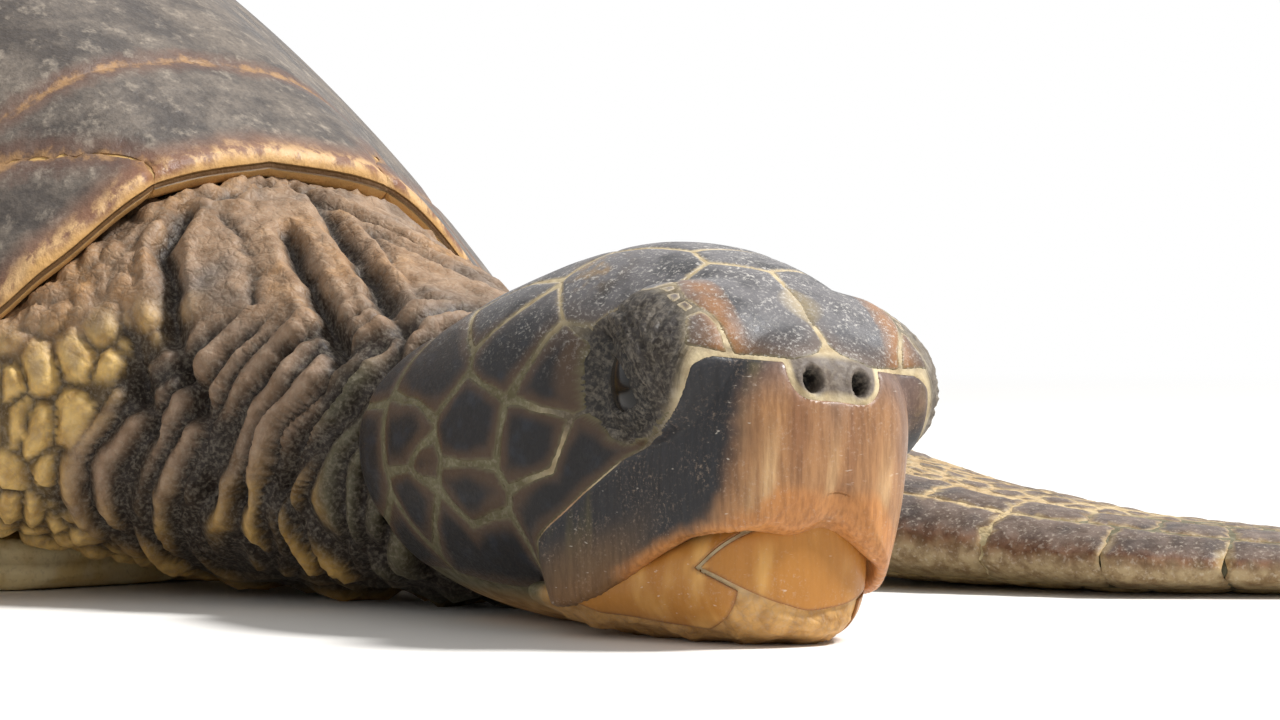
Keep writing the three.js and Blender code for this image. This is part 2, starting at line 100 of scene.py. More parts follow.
def cellsAt(points, size, seed=0, jitter=0.85):
    # nearest and second nearest cell of a jittered lattice, and the nearest one's own number
    q = points / size
    base = np.floor(q)
    first = np.full(len(q), 1e9)
    second = np.full(len(q), 1e9)
    own = np.zeros(len(q))
    for step in np.ndindex(3, 3, 3):
        cell = base + np.array(step) - 1
        offset = np.stack([hashed(cell, seed + k) for k in (11, 23, 37)], axis=-1)
        place = cell + 0.5 + (offset - 0.5) * jitter
        reach = np.linalg.norm(q - place, axis=-1)
        nearer = reach < first
        second = np.where(nearer, first, np.minimum(second, reach))
        own = np.where(nearer, hashed(cell, seed + 51), own)
        first = np.where(nearer, reach, first)
    return first * size, second * size, own


def eased(rows, place):
    # Catmull-Rom through the rows of a table, at places counted in rows
    table = np.array(rows, float)
    place = np.clip(np.asarray(place, float), 0, len(table) - 1)
    i = np.minimum(place.astype(int), len(table) - 2)
    t = (place - i)[..., None]
    a, b = table[np.maximum(i - 1, 0)], table[i]
    c, d = table[i + 1], table[np.minimum(i + 2, len(table) - 1)]
    return b + ((c - a) * t + (2 * a - 5 * b + 4 * c - d) * t ** 2 + (3 * b - a - 3 * c + d) * t ** 3) / 2


def lengthAlong(line):
    # distance travelled along a line of points, or down each column of a grid
    steps = np.linalg.norm(np.diff(line, axis=0), axis=-1)
    return np.concatenate([steps[:1] * 0, np.cumsum(steps, axis=0)])


def lineGaps(points, line):
    # for each piece of a line: its ends, and the way from it to each point
    corners = np.array(line, float)
    for a, b in zip(corners, corners[1:]):
        share = np.clip(((points - a) @ (b - a)) / ((b - a) @ (b - a)), 0, 1)
        yield a, b, points - a - share[:, None] * (b - a)


def normalsOf(points, faces):
    tri = points[faces]
    face = np.cross(tri[:, 1] - tri[:, 0], tri[:, 2] - tri[:, 0])
    total = np.zeros_like(points)
    for axis in range(3):
        for corner in range(3):
            total[:, axis] += np.bincount(faces[:, corner], face[:, axis], len(points))
    return unit(total)


def gridFaces(rows, columns, closed=True):
    # two triangles for each square of a grid of points, row after row
    i, j = np.meshgrid(np.arange(rows - 1), np.arange(columns if closed else columns - 1), indexing="ij")
    a = i * columns + j
    b = i * columns + (j + 1) % columns
    c, d = a + columns, b + columns
    even = (i + j) % 2 == 0
    one = np.where(even[..., None], np.stack([a, b, d], -1), np.stack([a, b, c], -1))
    two = np.where(even[..., None], np.stack([a, d, c], -1), np.stack([b, d, c], -1))
    return np.concatenate([one.reshape(-1, 3), two.reshape(-1, 3)])


def poleFan(columns, pole, first):
    # triangles between a pole and the row of points that starts at first
    j = np.arange(columns)
    return np.stack([np.full(columns, pole), first + j, first + (j + 1) % columns], -1)


def ownPieces(points, faces, owner, *carry):
    # the triangles of each owner in turn, with points and values of their own
    numbers = np.round(owner[faces[:, 0]]).astype(int)
    for number in range(numbers.max() + 1):
        yield compact(points, faces[numbers == number], *carry)


def makePiece(name, points, faces, values=None, uv=None):
    mesh = bpy.data.meshes.new(name)
    mesh.vertices.add(len(points))
    mesh.vertices.foreach_set("co", np.asarray(points, np.float32).ravel())
    mesh.loops.add(len(faces) * 3)
    mesh.loops.foreach_set("vertex_index", np.asarray(faces, np.int32).ravel())
    mesh.polygons.add(len(faces))
    mesh.polygons.foreach_set("loop_start", np.arange(0, len(faces) * 3, 3, dtype=np.int32))
    mesh.update(calc_edges=True)
    mesh.validate()
    for key, value in (values or {}).items():
        value = np.asarray(value, np.float32)
        if value.ndim == 1:
            mesh.attributes.new(key, "FLOAT", "POINT").data.foreach_set("value", value)
        else:
            colour = np.column_stack([value, np.ones(len(value), np.float32)])
            mesh.attributes.new(key, "FLOAT_COLOR", "POINT").data.foreach_set("color", colour.ravel())
    if uv is not None:
        layer = mesh.uv_layers.new(name="OFBake")
        layer.data.foreach_set("uv", np.asarray(uv, np.float32)[np.asarray(faces).ravel()].ravel())
    mesh.shade_smooth()
    piece = bpy.data.objects.new(name, mesh)
    bpy.context.scene.collection.objects.link(piece)
    return piece


def meshArrays(piece):
    mesh = piece.data
    mesh.calc_loop_triangles()
    points = np.empty(len(mesh.vertices) * 3, np.float32)
    mesh.vertices.foreach_get("co", points)
    faces = np.empty(len(mesh.loop_triangles) * 3, np.int32)
    mesh.loop_triangles.foreach_get("vertices", faces)
    return points.reshape(-1, 3).astype(float), faces.reshape(-1, 3).astype(np.int64)


def compact(points, faces, *extra):
    used, inverse = np.unique(faces, return_inverse=True)
    return (points[used], inverse.reshape(-1, 3)) + tuple(e[used] for e in extra)


def platesOver(points, normals, faces, label, depth, look, carry):
    # Closed plates over a surface: one for each label, where depth, the way in from its border, is over 0.
    # Look says how far off the surface the top starts, how much it rises and within which width of the border,
    # and how far the back lies under the surface.
    parts = []
    for turn in range(3):
        own = label[faces[:, turn]]
        fresh = np.ones(len(faces), bool)
        for earlier in range(turn):
            fresh &= label[faces[:, earlier]] != own
        fresh &= own >= 0
        parts.append(np.column_stack([faces[fresh], own[fresh]]))
    work = np.concatenate(parts)
    tri, own = work[:, :3], work[:, 3]
    value = np.where(label[tri] == own[:, None], depth[tri], -np.abs(depth[tri]))
    value = np.where(np.abs(value) < 1e-7, 1e-7, value)
    keep = (value > 0).any(axis=1)
    tri, own, value = tri[keep], own[keep], value[keep]
    inside = value > 0
    count = inside.sum(axis=1)
    ends, mixes, triangles = [], [], []

    def cutPoint(rows, a, b):
        # a lies inside, b outside
        va, vb = value[rows, a], value[rows, b]
        share = va / (va - vb)
        ia, ib = tri[rows, a], tri[rows, b]
        swap = ia > ib
        low, high = np.where(swap, ib, ia), np.where(swap, ia, ib)
        return np.column_stack([low, high, own[rows]]), np.where(swap, 1 - share, share)

    def wholePoint(rows, a):
        return np.column_stack([tri[rows, a], tri[rows, a], own[rows]]), np.zeros(len(rows))

    def addTriangles(corners):
        start = sum(len(e) for e in ends)
        n = len(corners[0][0])
        for key, share in corners:
            ends.append(key)
            mixes.append(share)
        triangles.append(start + np.column_stack([np.arange(n) + k * n for k in range(3)]))

    rows = np.nonzero(count == 3)[0]
    addTriangles([wholePoint(rows, np.full(len(rows), k)) for k in range(3)])
    rows = np.nonzero(count == 1)[0]
    a = inside[rows].argmax(axis=1)
    addTriangles([wholePoint(rows, a), cutPoint(rows, a, (a + 1) % 3), cutPoint(rows, a, (a + 2) % 3)])
    rows = np.nonzero(count == 2)[0]
    c = (~inside[rows]).argmax(axis=1)
    a, b = (c + 1) % 3, (c + 2) % 3
    addTriangles([wholePoint(rows, a), wholePoint(rows, b), cutPoint(rows, b, c)])
    addTriangles([wholePoint(rows, a), cutPoint(rows, b, c), cutPoint(rows, a, c)])
    keys, shares, corners = np.concatenate(ends), np.concatenate(mixes), np.concatenate(triangles)
    keys, first, back = np.unique(keys, axis=0, return_index=True, return_inverse=True)
    back = back.ravel()
    share = shares[first][:, None]
    low, high = keys[:, 0], keys[:, 1]

    def between(array):
        s = share if array.ndim > 1 else share[:, 0]
        return array[low] * (1 - s) + array[high] * s

    place, up = between(points), unit(between(normals))
    onBorder = low != high
    inward = np.where(onBorder, 0.0, depth[low])
    top = back[corners]
    good = (top[:, 0] != top[:, 1]) & (top[:, 1] != top[:, 2]) & (top[:, 0] != top[:, 2])
    top = top[good]
    n = len(place)
    start, height, width, sink = look
    upper = place + up * (start + height * (1 - np.exp(-inward / width)))[:, None]
    lower = place - up * sink
    edges = np.concatenate([top[:, [0, 1]], top[:, [1, 2]], top[:, [2, 0]]])
    code = np.minimum(edges[:, 0], edges[:, 1]) * n + np.maximum(edges[:, 0], edges[:, 1])
    position, uses = np.unique(code, return_index=True, return_counts=True)[1:]
    border = edges[position[uses == 1]]
    walls = np.concatenate([
        np.column_stack([border[:, 1], border[:, 0], border[:, 0] + n]),
        np.column_stack([border[:, 1], border[:, 0] + n, border[:, 1] + n]),
    ])
    allFaces = np.concatenate([top, top[:, ::-1] + n, walls])
    values = {key: np.concatenate([between(value)] * 2) for key, value in carry.items()}
    values["inward"] = np.tile(inward, 2)
    return np.concatenate([upper, lower]), allFaces, values


def nodeInto(tree, kind, values=None, output=0):
    # adds one node: values go to its settings and sockets, where hex text is a colour and an output is linked
    node = tree.nodes.new(kind)
    for key, value in (values or {}).items():
        if not (isinstance(key, int) or key in node.inputs):
            setattr(node, key, value)
        elif isinstance(value, bpy.types.NodeSocket):
            tree.links.new(value, node.inputs[key])
        else:
            node.inputs[key].default_value = (*toLinear(value), 1) if isinstance(value, str) else value
    return node.outputs[output]


# The head's own frame: millimetres, snout tip at 0, +Y back, +X to the left, +Z up

headShape = {
    "turn": -13,  # degrees, to the turtle's left
    "roll": 5.5,  # degrees, left cheek down
    "eyeMiddle": (0, 45, 78),  # point half way between the eyeballs
    "spacing": 1.55,  # between points of the skin
    "plateSpacing": 1.2,  # between points of the scales
    "outside": 196, "inside": 34,  # length of half a ring over the cheek, and in under the palate
    "frontCap": 17,  # length of the rounded front
    "lip": 2.6,  # thickness of the beak's cutting edge
    "palate": 12,  # how far the roof of the mouth lies above that edge
    "mouthCorner": 86,
}
# distance from the snout, half width, bottom, height of the widest place, top, squareness
headSections = [
    (0.0, 16, 42, 60, 80, 2.2), (2.5, 24, 35, 60, 87, 2.5), (7, 30.5, 31, 60, 91, 2.7),
    (15, 36, 28.5, 60, 97, 2.7), (27, 41, 25, 60, 106, 2.6), (40, 44, 20, 62, 113.5, 2.5),
    (55, 48, 14, 64, 119, 2.4), (72, 54, 6.5, 62, 123, 2.3), (90, 63, 1, 58, 125, 2.3),
    (110, 70, -2, 56, 122.5, 2.25), (130, 74, -3, 55, 117.5, 2.2), (150, 76, -3, 54, 112, 2.1),
    (166, 77, -2, 54, 106, 2.0), (178, 76.5, 0, 54, 100, 2.0), (188, 71, 5, 54, 95, 2.0), (196, 60, 14, 54, 88, 2.0),
    (204, 40, 28, 54, 78, 2.0),
]
jawShape = {
    "spacing": 1.8,  # between points of the skin
    "hornSpacing": 0.75,  # between points of the horn
    "around": 150,  # length of a ring, which sets its points
    "length": 105,
    "frontCap": 18,
}
jawSections = [
    (8.5, 12, 6, 24, 39, 2.2), (11, 19, 2, 24, 40, 2.5), (17, 25.5, 0, 22, 40, 2.6),
    (28, 30.5, -2, 20, 37, 2.6), (44, 36.5, -3, 16, 30, 2.6), (62, 43, -3, 12, 21, 2.5),
    (78, 49, -3, 8, 14, 2.4), (100, 50, -2, 8, 14, 2.2),
]
eye = {"side": 34, "back": 45, "height": 78, "radius": 19.5}
orbit = {"side": 35, "back": 41.5, "height": 84, "halfLength": 29, "halfHeight": 28.5, "bulge": 24, "blend": 7}
lids = {
    "side": 51.5, "back": 51, "height": 76.5, "halfLength": 18, "halfHeight": 9.2,
    "slope": 27, "turn": 12,  # degrees the opening drops, and turns in, towards the snout
}
lidLook = {
    "skinOverEye": 1.5,  # from the eyeball out to the lids
    "rings": ((4.2, 0.9, 0.7), (8.0, 1.1, 0.9), (12.5, 1.2, 1.1)),  # folds round the opening: where, depth, width
    "meeting": 17,  # how far in front of the opening the wrinkles meet
    "wrinkle": 1.25, "wrinkleTurn": 5.6,  # depth of the coarse wrinkles, and degrees from one to the next
    "line": 0.3, "lineTurn": 2.5,  # and of the fine ones
}
lidRing = {"back": 47.5, "height": 82, "halfLength": 29.5, "halfHeight": 24.5}  # border of the lids' skin
lidRadius = (lids["halfLength"] ** 2 + lids["halfHeight"] ** 2) / (2 * lids["halfHeight"])  # of each lid's arc
nostril = {"side": 8.6, "height": 81.5, "radius": 3.9, "depth": 7}
nasalSkin = {"side": 8.5, "height": 84, "border": 8.5}  # free of horn, round the nostrils

turn, roll = math.radians(headShape["turn"]), math.radians(headShape["roll"])
headTurn = np.array(Matrix.Rotation(turn, 3, "Z") @ Matrix.Rotation(roll, 3, "Y"))
eyeCentres = [np.array(sum(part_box(node), Vector())) / 2 for node in ("eye_left", "eye_right")]
eyeMiddle = (eyeCentres[0] + eyeCentres[1]) / 2


def fromHead(points):
    return (np.asarray(points) - headShape["eyeMiddle"]) @ headTurn.T * mm + eyeMiddle


def toHead(points):
    return (np.asarray(points) - eyeMiddle) @ headTurn / mm + headShape["eyeMiddle"]


def orbitSwell(x, y, z):
    # the brow and lids stand out over the eye
    inside = 1 - ((y - orbit["back"]) / orbit["halfLength"]) ** 2 - ((z - orbit["height"]) / orbit["halfHeight"]) ** 2
    out = orbit["side"] + orbit["bulge"] * np.sqrt(np.clip(inside, 0, 1)) * smooth(0, 0.2, inside)
    reach = np.abs(x)
    k = orbit["blend"]
    raised = (reach + out + np.sqrt((reach - out) ** 2 + k * k)) / 2
    raised = raised - (reach + orbit["side"] + np.sqrt((reach - orbit["side"]) ** 2 + k * k)) / 2 + reach
    return np.where(inside > 0, np.sign(x) * np.maximum(reach, raised), x)


def headOutline(section, fine=240):
    # one side of a section, from the top's middle over the cheek to the edge of the mouth and in to the middle
    back, half, bottom, widest, top, square = section
    a = np.linspace(math.pi / 2, 0, fine)
    upper = np.stack([half * np.cos(a) ** (2 / square), widest + (top - widest) * np.sin(a) ** (2 / square)], -1)
    s = np.linspace(0, 1, fine)
    mouthy = 1 - smooth(headShape["mouthCorner"] - 10, headShape["mouthCorner"] + 12, back)
    b = np.radians(52) * s
    wall = np.stack([half * (1 - 0.11 * s ** 2.6), widest + (bottom - widest) * s], -1)
    throat = np.stack([half * np.cos(b) ** (2 / square), widest + (bottom - widest) * np.sin(b) ** (2 / square)], -1)
    lower = wall * mouthy + throat * (1 - mouthy)
    edge = wall[-1]
    arch = headShape["palate"] * float(smooth(6, 18, back)) * (1 - float(smooth(66, 84, back)))
    inner = np.maximum(edge[0] - headShape["lip"], 0)
    q = np.linspace(0, 1, fine)
    inward = np.where(q < 0.12, edge[0] - (edge[0] - inner) * q / 0.12, inner * (1 - (q - 0.12) / 0.88))
    over = bottom + arch * np.sin(np.clip((q - 0.12) / 0.88, 0, 1) * math.pi / 2) ** 0.6
    roof = np.stack([inward, over - 0.5 * np.sin(np.clip(q / 0.12, 0, 1) * math.pi)], -1)
    c = np.radians(52) + np.radians(38) * q
    under = np.stack([half * np.cos(c) ** (2 / square), widest + (bottom - widest) * np.sin(c) ** (2 / square)], -1)
    floor = roof * mouthy + under * (1 - mouthy)
    return upper, lower, floor


def spread(line, count):
    # points at even steps along a line
    along = lengthAlong(line)
    place = np.linspace(0, along[-1], count)
    return np.stack([np.interp(place, along, line[:, k]) for k in range(line.shape[1])], -1)


def headRing(section, counts):
    up, down, under = headOutline(section)
    back = section[0]
    side = np.concatenate([up[:-1], down])
    side = np.stack([orbitSwell(side[:, 0] + 1e-6, back, side[:, 1]), side[:, 1]], -1)
    outer = spread(side, counts[0] + 1)
    inner = spread(under, counts[1] + 1)[1:]
    half = np.concatenate([outer, inner])
    whole = np.concatenate([half, half[-2:0:-1] * (-1, 1)])
    return np.stack([whole[:, 0], np.full(len(whole), back), whole[:, 1]], -1)


def headSurface(spacing, coarseRear):
    counts = (int(headShape["outside"] / spacing), int(headShape["inside"] / spacing))
    rows = np.linspace(0, len(headSections) - 1, 900)
    table = eased(headSections, rows)
    table[:, 1] = np.maximum(table[:, 1], 15)
    trial = np.array([headRing(section, (60, 12)) for section in table[::6]])
    step = np.linalg.norm(np.diff(trial, axis=0), axis=2)
    step = 0.65 * step.mean(axis=1) + 0.35 * np.percentile(step, 92, axis=1)
    if coarseRear:
        step = step * (1 - 0.55 * smooth(80, 100, table[3::6][:len(step), 0]))
    along = np.append(0, np.cumsum(step))
    chosen = np.interp(np.linspace(0, along[-1], int(along[-1] / spacing)), along, rows[::6])
    rings = np.array([headRing(section, counts) for section in eased(headSections, chosen)])
    centre = np.array([0, 0, 60])
    cap = []
    for share in np.linspace(0.06, 0.97, int(headShape["frontCap"] / spacing)):
        ring = centre + (rings[0] - centre) * share
        ring[:, 1] = rings[0][:, 1] - 1.3 * (1 - share ** 2)
        cap.append(ring)
    tips = np.array([[0, -1.3, 60], rings[-1].mean(axis=0)])
    return np.concatenate([np.array(cap), rings]), tips


def closedGrid(grid, tips):
    rows, columns = grid.shape[:2]
    front = poleFan(columns, rows * columns, 0)[:, [0, 2, 1]]
    rear = poleFan(columns, rows * columns + 1, (rows - 1) * columns)
    return np.concatenate([grid.reshape(-1, 3), tips]), np.concatenate([gridFaces(rows, columns), front, rear])


# Scales of the head

headScales = {
    # name: weight in millimetres, then places as side, back, height; a side of 0 is on the middle line
    "prefrontal": (9, (18, 30, 107)),
    "frontal": (0, (0, 62, 121)),
    "frontoparietal": (10, (0, 94, 124)),
    "supraocular": (7, (38, 72, 110)),
    "parietal": (11, (33, 130, 113)),
    "temporalTop": (4, (56, 122, 99)),
    "postocularTop": (4, (62, 102, 86)),
    "postocularMiddle": (2, (58, 83, 76)),
    "temporal": (8, (70, 141, 78)),
    "tympanic": (3.5, (75, 146, 56)),
    "cheekUpper": (4, (70, 112, 58)),
    "cheekSmall": (-1.5, (74, 136.5, 46)),
    "cheekRear": (2.5, (72, 143, 33)),
    "cheekMiddle": (3, (68, 112, 37)),
    "underEye": (3, (60, 86, 55)),
    "cheekFront": (3, (54, 80, 35), (52, 66, 48)),
    "jawAngle": (3, (70, 167, 20)),
    "cheekLow": (4, (61, 108, 18), (64, 126, 22)),
    "neckEdge": (1.5, (73, 175, 34), (72, 174, 52)),
    "neckEdgeTop": (2, (68, 174, 74)),
    "nape": (4, (40, 170, 98)),
    "napeMiddle": (3, (0, 168, 105)),
    "lidTop1": (-3, (43, 22, 96)),
    "lidTop2": (-3, (46, 27, 101)),
    "lidTop3": (-2.5, (48, 34, 105.5)),
    "lidTop4": (-3, (47, 41, 109)),
    "lidTop5": (-2.5, (46, 49, 110.5)),
    "lidTop6": (-3, (49, 57, 109)),
    "lidRear": (0, (55, 67, 104)),
}
scaleLook = {
    "seam": 0.5,  # half width of the pale seams on top, mm
    "cheekSeam": 0.9,  # and on the cheeks
    "plate": (-0.05, 0.55, 1.2, 0.9),  # start, rise and its width, and depth of the back, mm
    "horn": (-0.05, 0.8, 1.0, 0.9),
    "jawHorn": (-0.05, 0.4, 1.0, 0.9),
}
beakBorder = [  # side view of the horn's upper edge: back, height
    (-30, 86.5), (15, 86.5), (18, 80), (22, 69), (29, 61), (50, 52), (66, 40), (84, 24), (90, 4), (92, -30),
    (-30, -30),
]


def insideOutline(points, outline):
    # distance to a closed outline in a plane, positive inside
    nearest = np.full(len(points), 1e9)
    crossings = np.zeros(len(points), int)
    for a, b, gap in lineGaps(points, outline + outline[:1]):
        nearest = np.minimum(nearest, np.linalg.norm(gap, axis=1))
        spans = (a[1] > points[:, 1]) != (b[1] > points[:, 1])
        with np.errstate(divide="ignore", invalid="ignore"):
            crossings += spans & (points[:, 0] < a[0] + (points[:, 1] - a[1]) * (b - a)[0] / (b - a)[1])
    return np.where(crossings % 2 == 1, nearest, -nearest)


def hornField(points):
    # how far inside the upper horn's border a point lies; the skin round the nostrils is left free
    x, y, z = points.T
    gap = np.hypot(np.maximum(np.abs(x) - nasalSkin["side"], 0), np.maximum(nasalSkin["height"] - z, 0))
    nasal = np.where(y < 20, gap - nasalSkin["border"] + 0.6 * noiseAt(points, 8, 74), 99)
    return np.minimum.reduce([insideOutline(points[:, 1:], beakBorder), nasal, orbitRim(points) - 1])


def lidFrame(side):
    t, s = math.radians(lids["turn"]), math.radians(lids["slope"])
    along = np.array([side * math.sin(t) * math.cos(s), math.cos(t) * math.cos(s), math.sin(s)])
    out = np.array([side * math.cos(t), -math.sin(t), 0])
    return along, side * np.cross(out, along)


def lidDistance(points):
    # millimetres outside the opening between the lids, and how far along and above it
    side = np.where(points[:, 0] >= 0, 1, -1)
    distance, along, above = (np.full(len(points), 99.0) for _ in range(3))
    for s in (1, -1):
        chosen = (side == s) & (np.abs(points[:, 0]) > 22)
        l, v = lidFrame(s)
        q = points[chosen] - [s * lids["side"], lids["back"], lids["height"]]
        u, up = q @ l, q @ v
        tall = np.where(up > 0, 1.0, 1.15)
        distance[chosen] = np.hypot(u, np.abs(up) / tall + lidRadius - lids["halfHeight"]) - lidRadius
        along[chosen], above[chosen] = u, up
    return distance, along, above


def lidFan(along, above):
    # the lids' wrinkles spread from a point in front of the eye: which wrinkle, and how far from that point
    along = along + lids["halfLength"] + lidLook["meeting"]
    return np.degrees(np.arctan2(above, along)), np.hypot(along, above)


def orbitRim(points):
    # how far outside the ring of lid skin round the eye a point lies
    x, y, z = points.T
    ring = np.hypot((y - lidRing["back"]) / lidRing["halfLength"], (z - lidRing["height"]) / lidRing["halfHeight"])
    return np.where(np.abs(x) > 26, (ring - 1) * 24, 99)


def scaleField(points):
    warped = points + np.stack([layeredNoise(points + k * 50, 11, 5 + k) for k in range(3)], -1) * 1.3
    best = np.full(len(points), 1e9)
    other = np.full(len(points), 1e9)
    label = np.zeros(len(points), int)
    number = 0
    for weight, *places in headScales.values():
        for side in ((1, -1) if places[0][0] else (1,)):
            reach = np.full(len(points), 1e9)
            for x, y, z in places:
                reach = np.minimum(reach, np.linalg.norm(warped - [side * x, y, z], axis=1))
            reach = reach - weight
            nearer = reach < best
            other = np.where(nearer, best, np.minimum(other, reach))
            label = np.where(nearer, number, label)
            best = np.where(nearer, reach, best)
            number += 1
    depth = (other - best) / 2
    x, y, z = points.T
    beak = hornField(points)
    lidRoom = orbitRim(points) + 0.8 * noiseAt(points, 7, 72)
    low = np.interp(np.abs(x), (0, 4, 14, 29, 40), (93.5, 90.5, 87.4, 87.6, 89)) + 0.4 * noiseAt(points, 9, 70)
    nasal = np.where((y < 22) & (z < 100), z - low, 99)
    cheek = smooth(105, 70, z) * smooth(60, 95, y)
    wide = scaleLook["seam"] + (scaleLook["cheekSeam"] - scaleLook["seam"]) * cheek
    low = z - 8 - 3 * smooth(120, 160, y)
    side = np.where(z < 40, np.abs(x) - 30, 99)
    limit = np.minimum.reduce([-beak - 0.4, lidRoom, nasal, 184 - y, low, side])
    return label, np.minimum(depth - wide, limit), beak


# Shaping of the head's surface

def shapeHead(points, faces):
    # opens the lids over the eyeball, and presses in their wrinkles and the nostrils
    rim, horn = orbitRim(points), hornField(points)
    points = points.copy()
    distance, along, above = lidDistance(points)
    edge = np.abs(distance) < 0.55
    for s in (1, -1):
        l, v = lidFrame(s)
        chosen = edge & (np.sign(points[:, 0]) == s)
        u, up = along[chosen], above[chosen]
        way = np.stack([u, np.sign(up) * (np.abs(up) + lidRadius - lids["halfHeight"])], -1)
        way = unit(way) * distance[chosen][:, None]
        points[chosen] -= way[:, :1] * l + way[:, 1:] * v
    distance, along, above = lidDistance(points)
    for s in (1, -1):
        centre = np.array([s * eye["side"], eye["back"], eye["height"]])
        near = (np.sign(points[:, 0]) == s) & (distance < 20)
        away = points[near] - centre
        reach = np.linalg.norm(away, axis=1)
        d = distance[near]
        lid = eye["radius"] + lidLook["skinOverEye"] + 0.035 * np.clip(d, 0, 20) ** 2
        reachUp = np.where(above[near] > 0, 15 - 0.45 * np.clip(above[near], 0, 12), 20)
        weight = (1 - smooth(0.35, 1, d / reachUp)) * smooth(2, -3, rim[near])
        wanted = reach * (1 - weight) + np.minimum(lid, reach + 1) * weight
        wanted = np.where(d < -0.35, eye["radius"] - 2.5, wanted)
        points[near] = centre + away / reach[:, None] * wanted[:, None]
    normals = normalsOf(points, faces)
    distance, along, above = lidDistance(points)
    x, y, z = points.T
    around = distance + 1.1 * layeredNoise(points, 7, 40)
    fold = 0
    for place, deep, wide in lidLook["rings"]:
        fold = fold - deep * hump(around, place, wide) * np.where(above > -2, 1, 0.6)
        fold = fold + deep * 0.5 * hump(around, place - 1.9, 1.3)
    fold = fold * smooth(0.5, -2, rim)
    fan, fanReach = lidFan(along, above)
    crease = 1.1 * layeredNoise(points, 11, 44) + fan / lidLook["wrinkleTurn"]
    lines = (np.abs(crease - np.round(crease)) * 2) ** 0.8
    within = smooth(0.5, -3, rim) * smooth(-0.3, -2, horn) * smooth(8, 20, fanReach)
    reach = smooth(2.2, 5, distance) * within * smooth(-14, -4, above)
    fold = fold - lidLook["wrinkle"] * (1 - lines) ** 2 * reach + 0.3 * lines * reach
    fine = 0.8 * layeredNoise(points, 8, 46) + fan / lidLook["lineTurn"] + along / 22
    lines = (1 - np.abs(fine - np.round(fine)) * 2) ** 2
    fold = fold - lidLook["line"] * lines * smooth(0.8, 2.2, distance) * within
    fold = np.where(distance > 0.4, fold * smooth(0.4, 2.0, distance), 0)
    for s in (1, -1):
        hole = np.hypot((x - s * nostril["side"]) / 0.85, z - nostril["height"]) - nostril["radius"]
        front = y < 16
        fold = fold - np.where(front, nostril["depth"] * smooth(0.3, -1.5, hole), 0)
        fold = fold + np.where(front, 0.8 * hump(hole, 1.3, 1.4), 0)
    # low unevenness behind the beak
    fold = fold + 0.25 * layeredNoise(points, 16, 60) * smooth(20, 60, y)
    return points + normals * fold[:, None]


def beakRim(y):
    # height of the beak's cutting edge, before its arch and teeth
    return np.interp(y, [row[0] for row in headSections], [row[2] for row in headSections])


def beakEdge(points):
    # the beak's cutting edge: a shallow notch in front, a wave along each side and fine teeth
    x, y, z = points.T
    rim = beakRim(y)
    close = np.exp(-np.maximum(z - rim, 0) / 5) * (y < 84)
    teeth = 0.45 * np.abs(np.sin(y * math.pi / 2.6 + noiseAt(points, 6, 9))) * np.exp(-np.maximum(z - rim, 0) / 0.8)
    wave = 1.2 * np.sin((y - 8) / 74 * 2 * math.pi) * smooth(6, 14, y) * smooth(84, 70, y)
    notch = (3.4 * hump(x, 3, 7) - 1.0 * hump(x, -9, 7)) * smooth(16, 4, y) * smooth(60, 40, z)
    arch = np.interp(y, (0, 10, 27, 43, 62), (2.6, 3.3, 3.4, 2.2, 0)) * smooth(20, 8, x)
    points = points.copy()
    lower = 8.5 * hump(y, 25, 19) * (x > 0) * np.exp(-np.maximum(z - rim, 0) / 7) * smooth(14, 26, x)
    points[:, 2] += close * (wave + arch + teeth * (y > 4)) + notch * np.exp(-np.maximum(z - rim, 0) / 8) - lower
    return points


def builtHead(spacing, coarseRear=False):
    # the head's surface with its fields, which are read before lids and folds move the points
    grid, tips = headSurface(spacing, coarseRear)
    base, faces = closedGrid(grid, tips)
    base = beakEdge(base)
    label, depth, horn = scaleField(base)
    points = shapeHead(base, faces)
    rows, columns = grid.shape[:2]
    i, j = np.meshgrid(np.arange(rows), np.arange(columns), indexing="ij")
    uv = np.stack([(j + 0.5) / columns, (i + 0.5) / (rows + 1)], -1).reshape(-1, 2)
    uv = np.concatenate([uv, [[0.5, 0], [0.5, 1]]])
    return points, faces, {"label": label, "depth": depth, "horn": horn, "uv": uv}


def sunkHead(points, faces, fields):
    # the skin lies a little lower under the horn and the scales, and rises in the seams between them
    normals = normalsOf(points, faces)
    sink = 0.6 * smooth(0.2, 1.4, fields["horn"]) + 0.5 * smooth(0.2, 1.6, fields["depth"])
    return points - normals * sink[:, None]


# Lower jaw

def jawColumns(spacing):
    return int(jawShape["around"] / spacing)


def jawSurface(spacing):
    around = jawColumns(spacing)
    rows = np.linspace(0, len(jawSections) - 1, int(jawShape["length"] / spacing))
    angle = np.linspace(0, 2 * math.pi, around, endpoint=False) + math.pi / 2
    rings = []
    for back, half, bottom, widest, top, square in eased(jawSections, rows):
        c, s = np.cos(angle), np.sin(angle)
        across = half * np.sign(c) * np.abs(c) ** (2 / square)
        high = np.where(s > 0, top - widest, widest - bottom)
        up = widest + high * np.sign(s) * np.abs(s) ** (2 / square)
        rings.append(np.stack([across, np.full(around, back), up], -1))
    first, last = rings[0], rings[-1]
    caps = [first.mean(axis=0) + (first - first.mean(axis=0)) * share - [0, 1.2 * (1 - share ** 2), 0]
            for share in np.linspace(0.05, 0.95, int(jawShape["frontCap"] / spacing))]
    tips = np.array([first.mean(axis=0) - [0, 1.2, 0], last.mean(axis=0)])
    return closedGrid(np.concatenate([np.array(caps), np.array(rings)]), tips)


